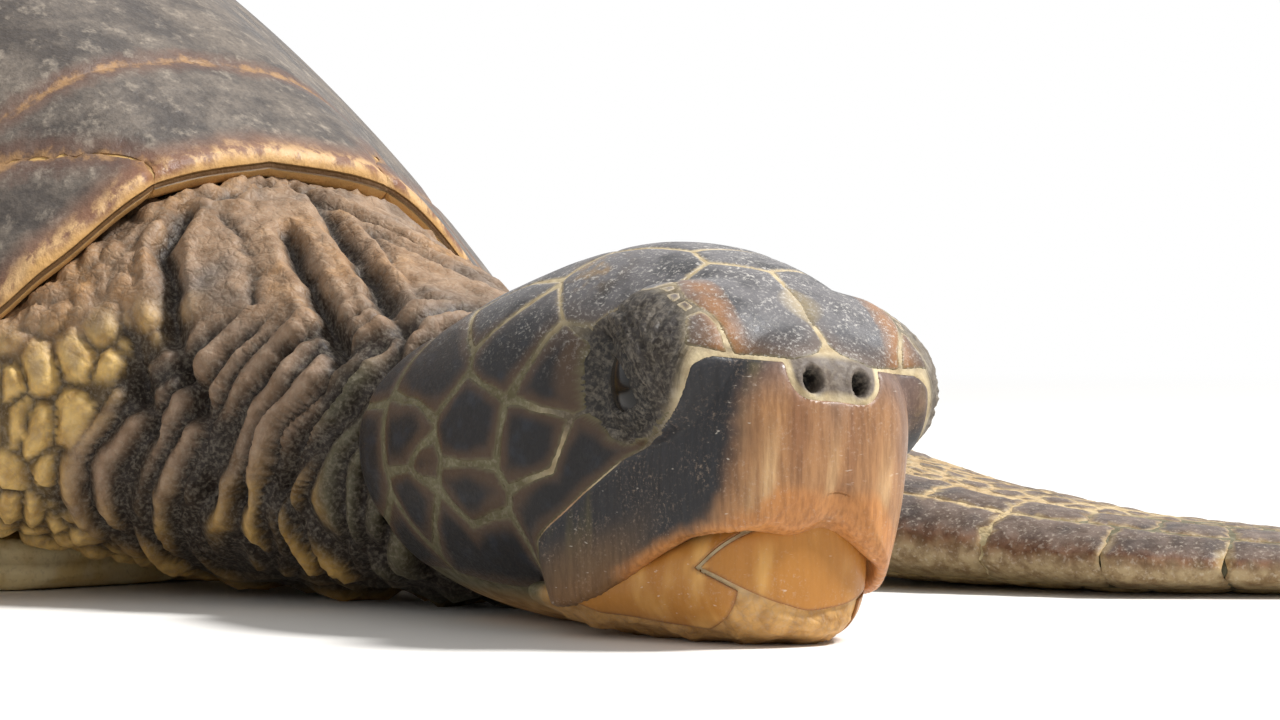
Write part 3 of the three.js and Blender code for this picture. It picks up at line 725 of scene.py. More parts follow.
def jawField(points):
    # the horn of the lower jaw: label 0 in front, 1 and 2 on the sides
    x, y, z = points.T
    reach = np.abs(x)
    arc = z - (9.5 + 0.012 * x ** 2) + 0.5 * noiseAt(points, 8, 80)
    parting = (46 - y - z) * 0.7
    front = np.minimum(arc, parting)
    low = z - np.interp(y, (8, 20, 26, 66, 80), (6, 3, 1, 3, 8)) + 0.5 * noiseAt(points, 9, 82)
    side = np.minimum.reduce([low, -front, 84 - y, reach - 21])
    label = np.where(front > side, 0, np.where(x > 0, 1, 2))
    return label, np.maximum(front, side) - 0.75


def shapeJaw(points, faces):
    z = points[:, 2]
    normals = normalsOf(points, faces)
    depth = jawField(points)[1]
    under = smooth(0, -1.5, depth) * smooth(15, 0, z)
    fold = 1.6 * layeredNoise(points * (1, 0.5, 1), 9, 85) * under
    fold = fold - 1.2 * hump(layeredNoise(points * (0.6, 1, 1), 14, 88), 0, 0.09) * under
    fold = fold - 0.5 * smooth(0.2, 1.4, depth)
    return points + normals * fold[:, None]


headPoints, headFaces, headFields = builtHead(headShape["spacing"], True)
headSkin = sunkHead(headPoints, headFaces, headFields)
jawPoints, jawFaces = jawSurface(jawShape["spacing"])
jawSkin = shapeJaw(jawPoints, jawFaces)
print("head surface", len(headFaces), "faces, jaw", len(jawFaces))


# The body's skin: one surface over neck, trunk, flippers and tail

bodySkin = {
    "voxel": 6.6, "smoothing": 14,
    "fineStep": 2.9, "coarseStep": 11.9,  # longest edge on the neck and shoulders, and away from them
}
weld = ("WELD", {"merge_threshold": 0.05 * mm})
fleshNodes = ("neck", "trunk", "front_flipper_left", "front_flipper_right",
              "hind_flipper_left", "hind_flipper_right", "tail")


def removePiece(piece):
    mesh = piece.data
    bpy.data.objects.remove(piece)
    bpy.data.meshes.remove(mesh)


def throughModifiers(points, faces, *modifiers, groups=None):
    # runs a plain mesh through modifiers and gives its points and triangles back
    piece = makePiece("working", points, faces)
    for key, weights in (groups or {}).items():
        group = piece.vertex_groups.new(name=key)
        for level in np.unique(weights):
            group.add(np.nonzero(weights == level)[0].tolist(), float(level), "REPLACE")
    for kind, settings in modifiers:
        modifier = piece.modifiers.new(kind, kind)
        for key, value in settings.items():
            setattr(modifier, key, value)
    evaluated = piece.evaluated_get(bpy.context.evaluated_depsgraph_get())
    mesh = bpy.data.meshes.new_from_object(evaluated)
    result = bpy.data.objects.new("result", mesh)
    arrays = meshArrays(result)
    removePiece(result)
    removePiece(piece)
    return arrays


def smoothed(points, faces, turns):
    # evens a surface without shrinking it much
    edges = np.unique(np.sort(np.concatenate([faces[:, :2], faces[:, 1:], faces[:, [2, 0]]]), axis=1), axis=0)
    count = np.bincount(edges.ravel(), minlength=len(points))[:, None]
    points = points.copy()
    for _ in range(turns):
        for pull in (0.6, -0.58):
            total = np.stack([
                np.bincount(edges[:, 0], points[edges[:, 1], k], len(points))
                + np.bincount(edges[:, 1], points[edges[:, 0], k], len(points)) for k in range(3)
            ], -1)
            points += pull * (total / np.maximum(count, 1) - points)
    return points


def splitLong(points, faces, longest):
    # halves each edge that is longer than allowed there, once
    edges = np.sort(np.concatenate([faces[:, :2], faces[:, 1:], faces[:, [2, 0]]]), axis=1)
    pairs, inverse = np.unique(edges, axis=0, return_inverse=True)
    inverse = inverse.ravel()
    length = np.linalg.norm(points[pairs[:, 0]] - points[pairs[:, 1]], axis=1)
    split = length > (longest[pairs[:, 0]] + longest[pairs[:, 1]]) / 2
    number = np.full(len(pairs), -1)
    number[split] = len(points) + np.arange(split.sum())
    middles = (points[pairs[split, 0]] + points[pairs[split, 1]]) / 2
    n = len(faces)
    cut = np.stack([number[inverse[:n]], number[inverse[n:2 * n]], number[inverse[2 * n:]]], -1)
    pieces = [faces[(cut < 0).all(axis=1)]]
    for first in range(3):
        a, b, c = faces[:, first], faces[:, (first + 1) % 3], faces[:, (first + 2) % 3]
        ab, bc, ca = cut[:, first], cut[:, (first + 1) % 3], cut[:, (first + 2) % 3]
        only = (ab >= 0) & (bc < 0) & (ca < 0)
        pieces += [np.stack([a, ab, c], -1)[only], np.stack([ab, b, c], -1)[only]]
        two = (ab >= 0) & (bc >= 0) & (ca < 0)
        pieces += [np.stack([ab, b, bc], -1)[two], np.stack([a, ab, bc], -1)[two], np.stack([a, bc, c], -1)[two]]
    all3 = (cut >= 0).all(axis=1)
    (a, b, c), (ab, bc, ca) = faces[all3].T, cut[all3].T
    pieces += [np.stack(t, -1) for t in ((a, ab, ca), (ab, b, bc), (ca, bc, c), (ab, bc, ca))]
    return np.concatenate([points, middles]), np.concatenate(pieces)


def fleshArrays(names):
    parts, faces, start = [], [], 0
    for name in names:
        p, f = meshArrays(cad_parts[name])
        parts.append(p)
        faces.append(f + start)
        start += len(p)
    return np.concatenate(parts), np.concatenate(faces)


def bodySurface():
    points, faces = fleshArrays(fleshNodes)
    remesh = ("REMESH", {"mode": "VOXEL", "voxel_size": bodySkin["voxel"] * mm, "adaptivity": 0})
    points, faces = throughModifiers(points, faces, weld, remesh)
    return smoothed(points, faces, bodySkin["smoothing"]), faces


def neckRefined(points, faces):
    # fewer faces in the shell and under the scales of the limbs, more on the neck and shoulders
    x, y = points[:, 0] / mm - neckLook["middle"], points[:, 1] / mm
    hidden = ((x / 310) ** 2 + ((y - 80) / 390) ** 2 < 1) & (y > -180)
    limb = (np.abs(x) > 170) & ~hidden | (y > 500)
    weights = np.where(hidden, 1.0, np.where(limb, 0.5, 0.0))
    thin = ("DECIMATE", {"ratio": 1 - 0.92 * hidden.mean() - 0.6 * limb.mean(), "vertex_group": "thin"})
    points, faces = throughModifiers(points, faces, thin, groups={"thin": weights})
    inverse, uses = np.unique(np.sort(faces, axis=1), axis=0, return_inverse=True, return_counts=True)[1:]
    faces = faces[uses[inverse.ravel()] == 1]  # leaves out faces that lie back to back
    for _ in range(2):
        x, y, z = points.T / mm
        near = smooth(-255, -285, y) * smooth(-190, -150, x) * smooth(110, 70, x) * smooth(2, 12, z)
        longest = bodySkin["fineStep"] * near + bodySkin["coarseStep"] * (1 - near)
        points, faces = splitLong(points, faces, longest * mm)
        points = smoothed(points, faces, 3)
    return points, faces


# Folds, cracks and lumps of the neck, millimetres in the turtle's frame

neckLook = {
    "middle": 46,  # the neck's middle plane
    "ring": 11.5,  # between two folds
    "ringDepth": 8.5,
    "lump": 13,
    "lumpDepth": 4.6,
    "crackDepth": 8,
}
neckCracks = [
    [(-8, -345, 148), (-4, -356, 141), (-19, -363, 125), (-31, -383, 97), (-34, -402, 69)],
    [(40, -345, 150), (46, -366, 145), (27, -413, 125), (8, -468, 99)],
    [(-8, -345, 148), (10, -352, 145), (34, -350, 149)],
    [(16, -388, 134), (2, -420, 112), (-6, -446, 96)],
    [(-15, -425, 92), (-25, -412, 66), (-33, -403, 41), (-38, -396, 14)],
    [(-9, -445, 90), (-19, -430, 62), (-27, -415, 35), (-32, -408, 12)],
    [(-12, -456, 84), (-20, -445, 64), (-26, -433, 46), (-30, -425, 18)],
    [(-41, -373, 83), (-44, -382, 60), (-46, -386, 30)],
]
neckFine = [
    [(60, -350, 145), (44, -402, 131), (24, -455, 108)],
    [(-22, -350, 128), (-36, -362, 104), (-44, -378, 80)],
    [(6, -366, 138), (-2, -392, 122), (-12, -404, 108)],
]


def lineDistance(points, line):
    return np.minimum.reduce([np.linalg.norm(gap, axis=1) for a, b, gap in lineGaps(points, line)])


def onBothSides(lines):
    # each line, and its mirror image in the neck's middle plane
    return lines + [[(2 * neckLook["middle"] - a, b, c) for a, b, c in line] for line in lines]


def neckFields(points):
    # parts of the relief and the painted colours share these: how deep in a fold, how far into a lump, and where
    q = points + driftAt(points, 26, 100) * 5
    x, y, z = q.T
    top = smooth(88, 116, z + 0.10 * (y + 400))
    leant = y - 0.5 * (90 - z)
    slanted = np.stack([x * 0.3, leant, z * 0.09], -1)
    first, second, own = cellsAt(slanted, neckLook["ring"], 91, 0.75)
    valley = (second - first) / 2 * 1.25
    deep = 0.75 + 0.35 * layeredNoise(points, 30, 97)
    folded = smooth(-362, -384, leant) * (1 - top)
    first, second, own = cellsAt(q * (1, 1, 0.7), neckLook["lump"], 31, 0.9)
    lump = (second - first) / 2
    shoulder = (1 - top) * smooth(-384, -366, leant) * smooth(-150, -195, y)
    small, next_, ownSmall = cellsAt(q * (0.8, 1.0, 0.9), 9.5, 57, 0.9)
    grain = (next_ - small) / 2
    under = smooth(-375, -350, y) * top * smooth(-150, -195, y)
    bent = points + driftAt(points, 13, 200) * 4
    cracks, fine = (np.minimum.reduce([lineDistance(bent, line) for line in onBothSides(lines)])
                    for lines in (neckCracks, neckFine))
    near = smooth(-190, -230, points[:, 1]) * smooth(150, 110, np.abs(points[:, 0] - neckLook["middle"]))
    return {"top": top, "valley": valley, "deep": deep, "folded": folded, "lump": lump, "lumpOwn": own,
            "shoulder": shoulder, "grain": grain, "grainOwn": ownSmall, "under": under, "cracks": cracks,
            "fine": fine, "near": near}


def neckRelief(points):
    f = neckFields(points)
    ringFold = -neckLook["ringDepth"] * f["deep"] * np.exp(-((f["valley"] / 2.2) ** 1.3))
    ringFold = ringFold + 2.6 * smooth(0, 6.5, f["valley"]) + 1.7 * layeredNoise(points, 8, 320)
    lumps = 1.2 - neckLook["lumpDepth"] * (1 - smooth(0, 2.8, f["lump"])) + 0.8 * (f["lumpOwn"] - 0.5)
    grains = 0.8 - 2.2 * (1 - smooth(0, 2.2, f["grain"])) + 1.2 * (f["grainOwn"] - 0.5)
    leather = 0.9 * layeredNoise(points, 15, 300) - 0.7 * (1 - smooth(0, 1.2, f["grain"]))
    crack = -neckLook["crackDepth"] * np.exp(-((f["cracks"] / 3.4) ** 1.6)) + 1.6 * hump(f["cracks"], 7.5, 3)
    slit = -3.0 * np.exp(-((f["fine"] / 2.2) ** 1.6))
    plain = f["top"] * (1 - f["under"])
    relief = ringFold * f["folded"] + lumps * f["shoulder"] + grains * f["under"] + leather * plain
    relief = relief + crack + slit + 0.35 * layeredNoise(points, 5, 310)
    return relief * f["near"]


limbPoints, limbFaces = bodySurface()
bodyPoints, bodyFaces = neckRefined(limbPoints, limbFaces)
bodyBase = bodyPoints
bodyPoints = bodyBase + normalsOf(bodyBase, bodyFaces) * neckRelief(bodyBase / mm)[:, None] * mm
bodyPoints[:, 2] = np.maximum(bodyPoints[:, 2], 0)
print("body", len(bodyFaces), "faces", bodyPoints.min(axis=0), bodyPoints.max(axis=0))


# One skin

def unionOf(first, *others):
    tools = [makePiece("tool", points, faces) for points, faces in others]
    steps = [("BOOLEAN", {"object": tool, "operation": "UNION", "solver": "MANIFOLD"}) for tool in tools]
    result = throughModifiers(*first, *steps)
    for tool in tools:
        removePiece(tool)
    return result


skinPoints, skinFaces = unionOf((bodyPoints, bodyFaces), (fromHead(headSkin), headFaces),
                                (fromHead(jawSkin), jawFaces))
skinPoints[:, 2] = np.maximum(skinPoints[:, 2], 0)
print("skin", len(skinFaces), "faces")


def beforeRelief(points):
    # where points of the skin lay before the folds were pressed in, so that the colours, with their painted shade in
    # the folds, and the folds fit each other
    tree = KDTree(len(bodyPoints))
    for number, point in enumerate(bodyPoints):
        tree.insert(point, number)
    tree.balance()
    near = np.array([tree.find(point)[1] for point in points])
    return points + (bodyBase - bodyPoints)[near]


skinBase = beforeRelief(skinPoints) / mm


# Colours at each point, with painted shade in folds, cracks, creases and hollows, and painted light on the lit side

def mixed(one, other, share):
    share = np.asarray(share)[..., None]
    return np.asarray(one) * (1 - share) + np.asarray(other) * share


skinColours = {name: np.array(toLinear(text)) for name, text in {
    # valley is painted shade, for the neck's folds, cracks and other hollows
    "leather": "#9c7f64", "leatherGrey": "#74685f", "leatherOrange": "#b28655", "valley": "#241b15",
    # the dark olive just behind the cheek is painted shade, in the fold between head and neck
    "crest": "#957c66", "crestLow": "#d0a85e", "shadeBehindCheek": "#57523e", "lump": "#dcb872",
    "lumpCentre": "#8d775c", "belly": "#e6d5a8", "bellyDark": "#cfb173",
    "seamDark": "#8c6a3c", "headSeam": "#c9b894",
    # the pale lid colour is partly the lids' own paler tone, partly painted light on the lit lid; lidShade is painted
    # shade round the eye openings and in the nostrils; the cheek seam colour is partly the seams' own olive, partly
    # painted shade
    "cheekSeam": "#625d43", "lid": "#37322f", "lidPaleAndLit": "#8d8478", "lidShade": "#171515", "nasal": "#6c625a",
    "chin": "#c79a5c", "mouth": "#b98a6a", "flipper": "#c2a67a",
}.items()}


def bodyPaint(points):
    c = skinColours
    f = neckFields(points)
    y, z = points[:, 1], points[:, 2]
    broad = layeredNoise(points, 24, 400)
    small = layeredNoise(points, 6, 410)
    leather = mixed(c["leather"], c["leatherGrey"], smooth(-0.1, 0.7, broad))
    leather = mixed(leather, c["leatherOrange"], smooth(0.05, 0.7, -broad + 0.3 * small) * 0.8)
    crest = mixed(c["crest"], c["crestLow"], smooth(62, 22, z + 8 * small + 0.25 * (y + 430)))
    # painted shade in the fold between the head and the neck, behind the cheek
    crest = mixed(crest, c["shadeBehindCheek"], smooth(-444, -458, y) * smooth(95, 80, z))
    # painted shade: the fold valleys go near black
    folds = mixed(c["valley"], crest, smooth(0.6, 3.2, f["valley"]) * 0.97 + 0.03)
    lump = mixed(c["lump"], c["lumpCentre"], smooth(2.2, 5.5, f["lump"] + small) * smooth(20, 70, z) * 0.85)
    # painted shade between the lumps
    lump = mixed(lump, c["valley"], smooth(1.5, 0.2, f["lump"]) * 0.8)
    under = mixed(leather, c["leatherOrange"], 0.35 + 0.3 * small)
    # painted shade between the small scales under the neck
    under = mixed(under, c["valley"], smooth(1.2, 0.1, f["grain"]) * 0.5)
    colour = leather
    colour = mixed(colour, folds, f["folded"])
    colour = mixed(colour, lump, f["shoulder"])
    colour = mixed(colour, under, f["under"] * 0.8)
    # painted shade in the cracks, wherever the skin is pressed in, and in the fine slits
    colour = mixed(colour, c["valley"], np.exp(-((f["cracks"] / 2.8) ** 2)) * f["near"])
    colour = mixed(colour, c["valley"], 0.85 * smooth(-1.2, -5, neckRelief(points)))
    colour = mixed(colour, c["valley"], 0.8 * np.exp(-((f["fine"] / 1.6) ** 2)) * f["near"])
    away = mixed(c["flipper"], c["belly"], smooth(40, 10, z))
    return mixed(away, colour, f["near"])


def headPaint(points):
    # points in the head's frame
    c = skinColours
    x, y, z = points.T
    small = layeredNoise(points, 5, 420)
    cheek = smooth(104, 78, z) * smooth(66, 92, y)
    # the seams are darker on the cheeks: partly their own olive tone, partly painted shade
    colour = mixed(c["headSeam"], c["cheekSeam"], cheek)
    colour = mixed(colour, c["chin"], smooth(8, 0, z) * smooth(60, 90, y))
    rim = orbitRim(points)
    distance = lidDistance(points)[0]
    # the lids on the turtle's left, the lit side, are painted paler: painted light over the lids' own pale mottles
    lid = mixed(c["lid"], c["lidPaleAndLit"], smooth(-0.2, 0.8, small) * 0.2 + 0.5 * (x > 0))
    # painted shade: the lids go near black round the opening
    lid = mixed(lid, c["lidShade"], smooth(12, 2, distance) * 0.85)
    colour = mixed(colour, c["lid"], 0.8 * smooth(11, 4, rim) * smooth(116, 104, z) * smooth(16, 28, y))
    colour = mixed(colour, lid, smooth(1.5, -1.5, rim))
    nasal = smooth(20, 12, y) * smooth(-1.2, -2.6, hornField(points)) * smooth(91, 88, z)
    colour = mixed(colour, c["nasal"], nasal)
    # painted shade in the nostrils
    for side in (1, -1):
        hole = np.hypot((x - side * nostril["side"]) / 0.85, z - nostril["height"])
        colour = mixed(colour, c["lidShade"], smooth(nostril["radius"] + 0.6, nostril["radius"] - 1, hole) * (y < 20))
    inMouth = smooth(84, 76, y) * smooth(45, 38, z)
    colour = mixed(colour, c["mouth"], inMouth * smooth(0.5, -0.5, hornField(points)))
    return colour


def jawPaint(points):
    c = skinColours
    small = layeredNoise(points, 7, 430)
    return mixed(c["chin"], c["leatherOrange"], smooth(0, 0.8, small) * 0.4)


def skinWays(points, base):
    # for the surface's fine creases: place on the eyelids, and how leathery the skin is
    head = toHead(points * mm)
    along, above = lidDistance(head)[1:]
    fan, fanReach = lidFan(along, above)
    onLid = smooth(3, -1, orbitRim(head)) * smooth(8, 20, fanReach) * (head[:, 1] < 90)
    away = np.where(onLid > 0, 1, 0)
    place = np.stack([fan / 2.6 * away, fanReach / 14 * away, head[:, 2] / 60 * away], -1)
    behind = smooth(176, 192, head[:, 1])
    chin = smooth(20, 8, head[:, 2]) * smooth(96, 84, head[:, 1])
    f = neckFields(base)
    leather = 0.62 + 0.2 * layeredNoise(points, 20, 450) - 0.35 * f["folded"] - 0.3 * f["shoulder"]
    leather = 1 + (leather - 1) * f["near"]
    return place, onLid, np.maximum(0.12 + (leather - 0.12) * behind, 0.4 * chin)


def skinPaint(points, base):
    head = toHead(points * mm)
    behind = smooth(172, 192, head[:, 1])
    ofJaw = smooth(20, 10, head[:, 2]) * smooth(96, 84, head[:, 1])
    colour = mixed(headPaint(head), jawPaint(head), ofJaw)
    return mixed(colour, bodyPaint(base), behind)


hardColours = {name: np.array(toLinear(text)) for name, text in {
    # the grey top and the near black cheek colours are partly the scales' own tones, partly painted light on top and
    # painted shade on the cheeks
    "top": "#6a6768", "topDark": "#3a393b", "cheek": "#1c1a1b", "cheekEdge": "#4b3a2c", "cheekBlue": "#25272d",
    "stain": "#9a6a3c", "brow": "#a5834e", "seam": "#c4b290", "oliveSeam": "#655f45",
    "horn": "#a67a52", "hornPale": "#d6b182", "hornDark": "#7a5136", "mauve": "#6f5c55",
    "hornBlack": "#29292c", "hornGreen": "#5d5638", "hornTan": "#6f563b", "edge": "#bf8148",
    "jaw": "#b07836", "jawPale": "#d6a55e", "flipper": "#6e5d52", "flipperDark": "#4a3f3a",
    "flipperEdge": "#90613f", "flipperUnder": "#d6bd88",
}.items()}


def scalePaint(points, inward):
    # scales of the head: grey above, near black on the cheeks with brown borders; lighter above and darker on the
    # cheeks partly by their own tones, partly as painted light and painted shade
    c = hardColours
    x, y, z = points.T
    broad = layeredNoise(points, 13, 600)
    small = layeredNoise(points, 4, 610)
    above = smooth(84, 108, z + 4 * broad)
    top = mixed(c["top"], c["topDark"], smooth(-0.3, 0.6, broad + 0.4 * small))
    cheek = mixed(c["cheekEdge"], mixed(c["cheek"], c["cheekBlue"], smooth(0, 0.6, small)),
                  smooth(0.6, 5.0, inward + 1.8 * broad))
    # painted light and shade over the scales' own tones: lighter above, darker on the cheeks
    colour = mixed(cheek, top, above)
    side = np.abs(x)
    stain = hump(side, 32, 6) * smooth(52, 34, y) * smooth(4, 14, y) * smooth(8, 2, inward + 3 * small)
    brow = np.exp(-(((side - 41) / 9) ** 2 + ((y - 90) / 9) ** 2 + ((z - 112) / 9) ** 2)) * smooth(-0.2, 0.4, small)
    colour = mixed(colour, c["stain"], 0.75 * stain)
    colour = mixed(colour, c["brow"], 0.8 * brow)
    colour = mixed(colour, c["stain"], 0.35 * hump(z, 90, 4) * smooth(24, 14, y) * above)
    rim = smooth(0.8, 0.1, inward)
    # the seams are olive on the cheeks: partly their own tone, partly painted shade
    colour = mixed(colour, mixed(c["seam"], c["oliveSeam"], 1 - above), rim * 0.8)
    return colour


def hornPaint(points, inward):
    c = hardColours
    x, y, z = points.T
    up = z - beakRim(y)
    around = np.stack([x, y, z * 0.10], -1)
    streak = layeredNoise(around, 7, 620, 3)
    broad = layeredNoise(around, 17, 630, 2)
    small = layeredNoise(points, 3.5, 640)
    front = mixed(c["horn"], c["hornPale"], smooth(0.05, 0.6, streak) * smooth(75, 45, z) * 0.8)
    front = mixed(front, c["hornDark"], smooth(0.05, 0.7, -streak) * 0.75)
    front = mixed(front, c["mauve"], smooth(-0.25, 0.45, broad) * smooth(12, 34, up) * 0.7)
    front = mixed(front, c["mauve"], 0.8 * smooth(70, 86, z))
    rear = mixed(c["hornBlack"], c["hornGreen"], smooth(0.15, 0.6, streak) * 0.75)
    rear = mixed(rear, c["hornTan"], smooth(22, 6, up + 6 * broad) * smooth(30, 60, y))
    start = np.interp(z, (18, 24, 30, 36, 46, 60, 82), (52, 38, 25, 15, 7.5, 5.5, 6.5)) + 9 * (x > 0)
    back = smooth(-5, 7, y - start + 6 * broad + 2 * small)
    colour = mixed(front, rear, back)
    colour = mixed(colour, c["edge"], smooth(8, 2, up + 1.5 * small) * (0.85 - 0.73 * back))
    return mixed(colour, c["topDark"], 0.5 * smooth(1.4, 0.2, inward) * back)


def jawHornPaint(points, inward):
    c = hardColours
    small = layeredNoise(points * (1, 1, 0.4), 8, 650)
    colour = mixed(c["jaw"], c["jawPale"], smooth(-0.1, 0.8, small))
    return mixed(colour, c["hornDark"], smooth(0.9, 0.1, inward) * 0.6)


# Materials

def newMaterial(name, colour="#808080", rough=0.5):
    material = bpy.data.materials.new(name)
    material.use_nodes = True
    tree = material.node_tree
    shader = tree.nodes["Principled BSDF"]
    shader.inputs["Base Color"].default_value = (*toLinear(colour), 1)
    shader.inputs["Roughness"].default_value = rough
    shader.inputs["Specular IOR Level"].default_value = 0.3  # keratin and dry skin: a faint, soft shine
    return material, tree, shader, nodeInto(tree, "ShaderNodeTexCoord", output="Object")


def mottles(tree, place, *patterns):
    # a noise for each pattern: millimetres between features, detail, roughness, and how far it is stretched
    made = []
    for size, detail, rough, *stretch in patterns:
        where = nodeInto(tree, "ShaderNodeMapping", {"Vector": place, "Scale": stretch[0]}) if stretch else place
        values = {"Vector": where, "Scale": 1000 / size, "Detail": detail, "Roughness": rough}
        made.append(nodeInto(tree, "ShaderNodeTexNoise", values))
    return made


def carried(tree, *names):
    # what the mesh carries at each point
    outputs = {"pointColour": "Color", "lidPlace": "Vector"}
    return [nodeInto(tree, "ShaderNodeAttribute", {"attribute_name": name}, outputs.get(name, "Fac"))
            for name in names]


def shareOf(tree, *factors):
    # factors multiplied: a link, a number, or a link with the range over which it goes from 0 to 1,
    # or from one value to another
    share = None
    for factor in factors:
        if isinstance(factor, tuple):
            source, low, high, first, last = factor if len(factor) == 5 else (*factor, 0.0, 1.0)
            values = {"interpolation_type": "SMOOTHSTEP", "Value": source, "From Min": low, "From Max": high,
                      "To Min": first, "To Max": last}
            factor = nodeInto(tree, "ShaderNodeMapRange", values)
        product = {"operation": "MULTIPLY", 0: share, 1: factor}
        share = factor if share is None else nodeInto(tree, "ShaderNodeMath", product)
    return share


def layered(tree, shader, colour, *layers):
    # colours laid over each other: how they mix, the colour, and the factors of its share
    for kind, other, *factors in layers:
        values = {"data_type": "RGBA", "blend_type": kind, 0: shareOf(tree, *factors), 6: colour, 7: other}
        colour = nodeInto(tree, "ShaderNodeMix", values, 2)
    tree.links.new(colour, shader.inputs["Base Color"])


def relief(tree, shader, *layers):
    # layers: a height from 0 to 1, and how many millimetres that is
    normal = None
    for source, height in layers:
        values = {"Strength": 1.0, "Distance": height * mm, "Height": source}
        normal = nodeInto(tree, "ShaderNodeBump", values | ({"Normal": normal} if normal else {}))
    tree.links.new(normal, shader.inputs["Normal"])


def skinSurface():
    # leathery skin: the colours at each point, small mottles, fine creases darkened with painted shade, and the
    # wrinkles that fan out over the eyelids, with painted shade in their hollows and painted highlights on their crests
    material, tree, shader, place = newMaterial("turtle skin", rough=0.6)
    paint, lidPlace, leathery, onLid = carried(tree, "pointColour", "lidPlace", "leathery", "onLid")
    mottle, fine, broad = mottles(tree, place, (6, 5, 0.62), (1.5, 4, 0.62), (9, 3, 0.55))
    drift = nodeInto(tree, "ShaderNodeTexNoise", {"Vector": place, "Scale": 1000 / 8, "Detail": 2}, "Color")
    bent = {"data_type": "RGBA", "blend_type": "ADD", 0: 0.003, 6: place, 7: drift}
    cells = {"feature": "DISTANCE_TO_EDGE", "Vector": nodeInto(tree, "ShaderNodeMix", bent, 2)}
    creases, finer = (nodeInto(tree, "ShaderNodeTexVoronoi", cells | {"Scale": 1000 / size}) for size in (4.6, 1.9))
    wrinkles = mottles(tree, lidPlace, (1000, 3, 0.6))[0]
    layered(tree, shader, paint,
            ("MULTIPLY", "#c9bfb2", (mottle, 0.35, 0.7)),
            ("MIX", "#e9dcc6", (fine, 0.42, 0.68, 0, 0.12)),
            # painted shade in the fine creases
            ("MIX", "#2a1f18", (creases, 0, 0.10, 0.18, 0), leathery),
            # painted shade in the hollows of the lid wrinkles
            ("MIX", "#15120f", (wrinkles, 0.47, 0.36), onLid, 0.45),
            # painted highlights on the crests of the lid wrinkles
            ("MIX", "#a3998a", (wrinkles, 0.54, 0.66), onLid, 0.18))
    tree.links.new(shareOf(tree, (mottle, 0.3, 0.7, 0.48, 0.72)), shader.inputs["Roughness"])
    relief(tree, shader, (broad, 1.0), (shareOf(tree, (creases, 0, 0.2), leathery), 0.3),
           (shareOf(tree, (finer, 0, 0.25), leathery), 0.1), (fine, 0.22), (shareOf(tree, wrinkles, onLid), 0.6))
    return material


def scaleSurface():
    # scales of the head: whitish specks and short scratches over the colours at each point, more of them higher up;
    # partly wear, partly painted glints of light
    material, tree, shader, place = newMaterial("head scale", rough=0.4)
    paint, wearAndGlints = carried(tree, "pointColour", "wearAndGlints")
    specks, patches, lines = mottles(tree, place, (1.5, 5, 0.7), (11, 3, 0.55), (1.1, 3, 0.6, (1, 0.25, 1)))
    layered(tree, shader, paint,
            # whitish specks and scratches, more on top: partly wear, partly painted glints of light
            ("MIX", "#c9c4bc", (specks, 0.5, 0.72), (patches, 0.36, 0.6, 0.35, 1), wearAndGlints),
            ("MIX", "#d8d3cb", (lines, 0.62, 0.72), wearAndGlints, 0.6))
    tree.links.new(shareOf(tree, (specks, 0.3, 0.7, 0.34, 0.6)), shader.inputs["Roughness"])
    relief(tree, shader, (specks, 0.18), (patches, 0.5), (lines, 0.06))
    return material


def hornSurface(name, streaked):
    # horn grown downwards: streaks run up from the cutting edge, with fine pale scratches
    material, tree, shader, place = newMaterial(name, rough=0.42)
    paint, = carried(tree, "pointColour")
    streaks, specks, wide, scratch = mottles(tree, place, (1.6, 4, 0.6, (1, 1, 0.12)), (1.2, 5, 0.72), (14, 3, 0.55),
                                             (1.3, 2, 0.5, (0.16, 0.4, 1)))
    layered(tree, shader, paint,
            ("MULTIPLY", "#8d7a6c", (streaks, 0.35, 0.7, 0, streaked)),
            ("MIX", "#c0a994", (specks, 0.5, 0.8), (wide, 0.4, 0.62, 0.1, 0.6)),
            ("MIX", "#e0d6c8", (scratch, 0.7, 0.78, 0, 0.5)))
    tree.links.new(shareOf(tree, (specks, 0.3, 0.7, 0.28, 0.5)), shader.inputs["Roughness"])
    relief(tree, shader, (streaks, 0.25 * streaked), (specks, 0.06), (wide, 0.5))
    return material


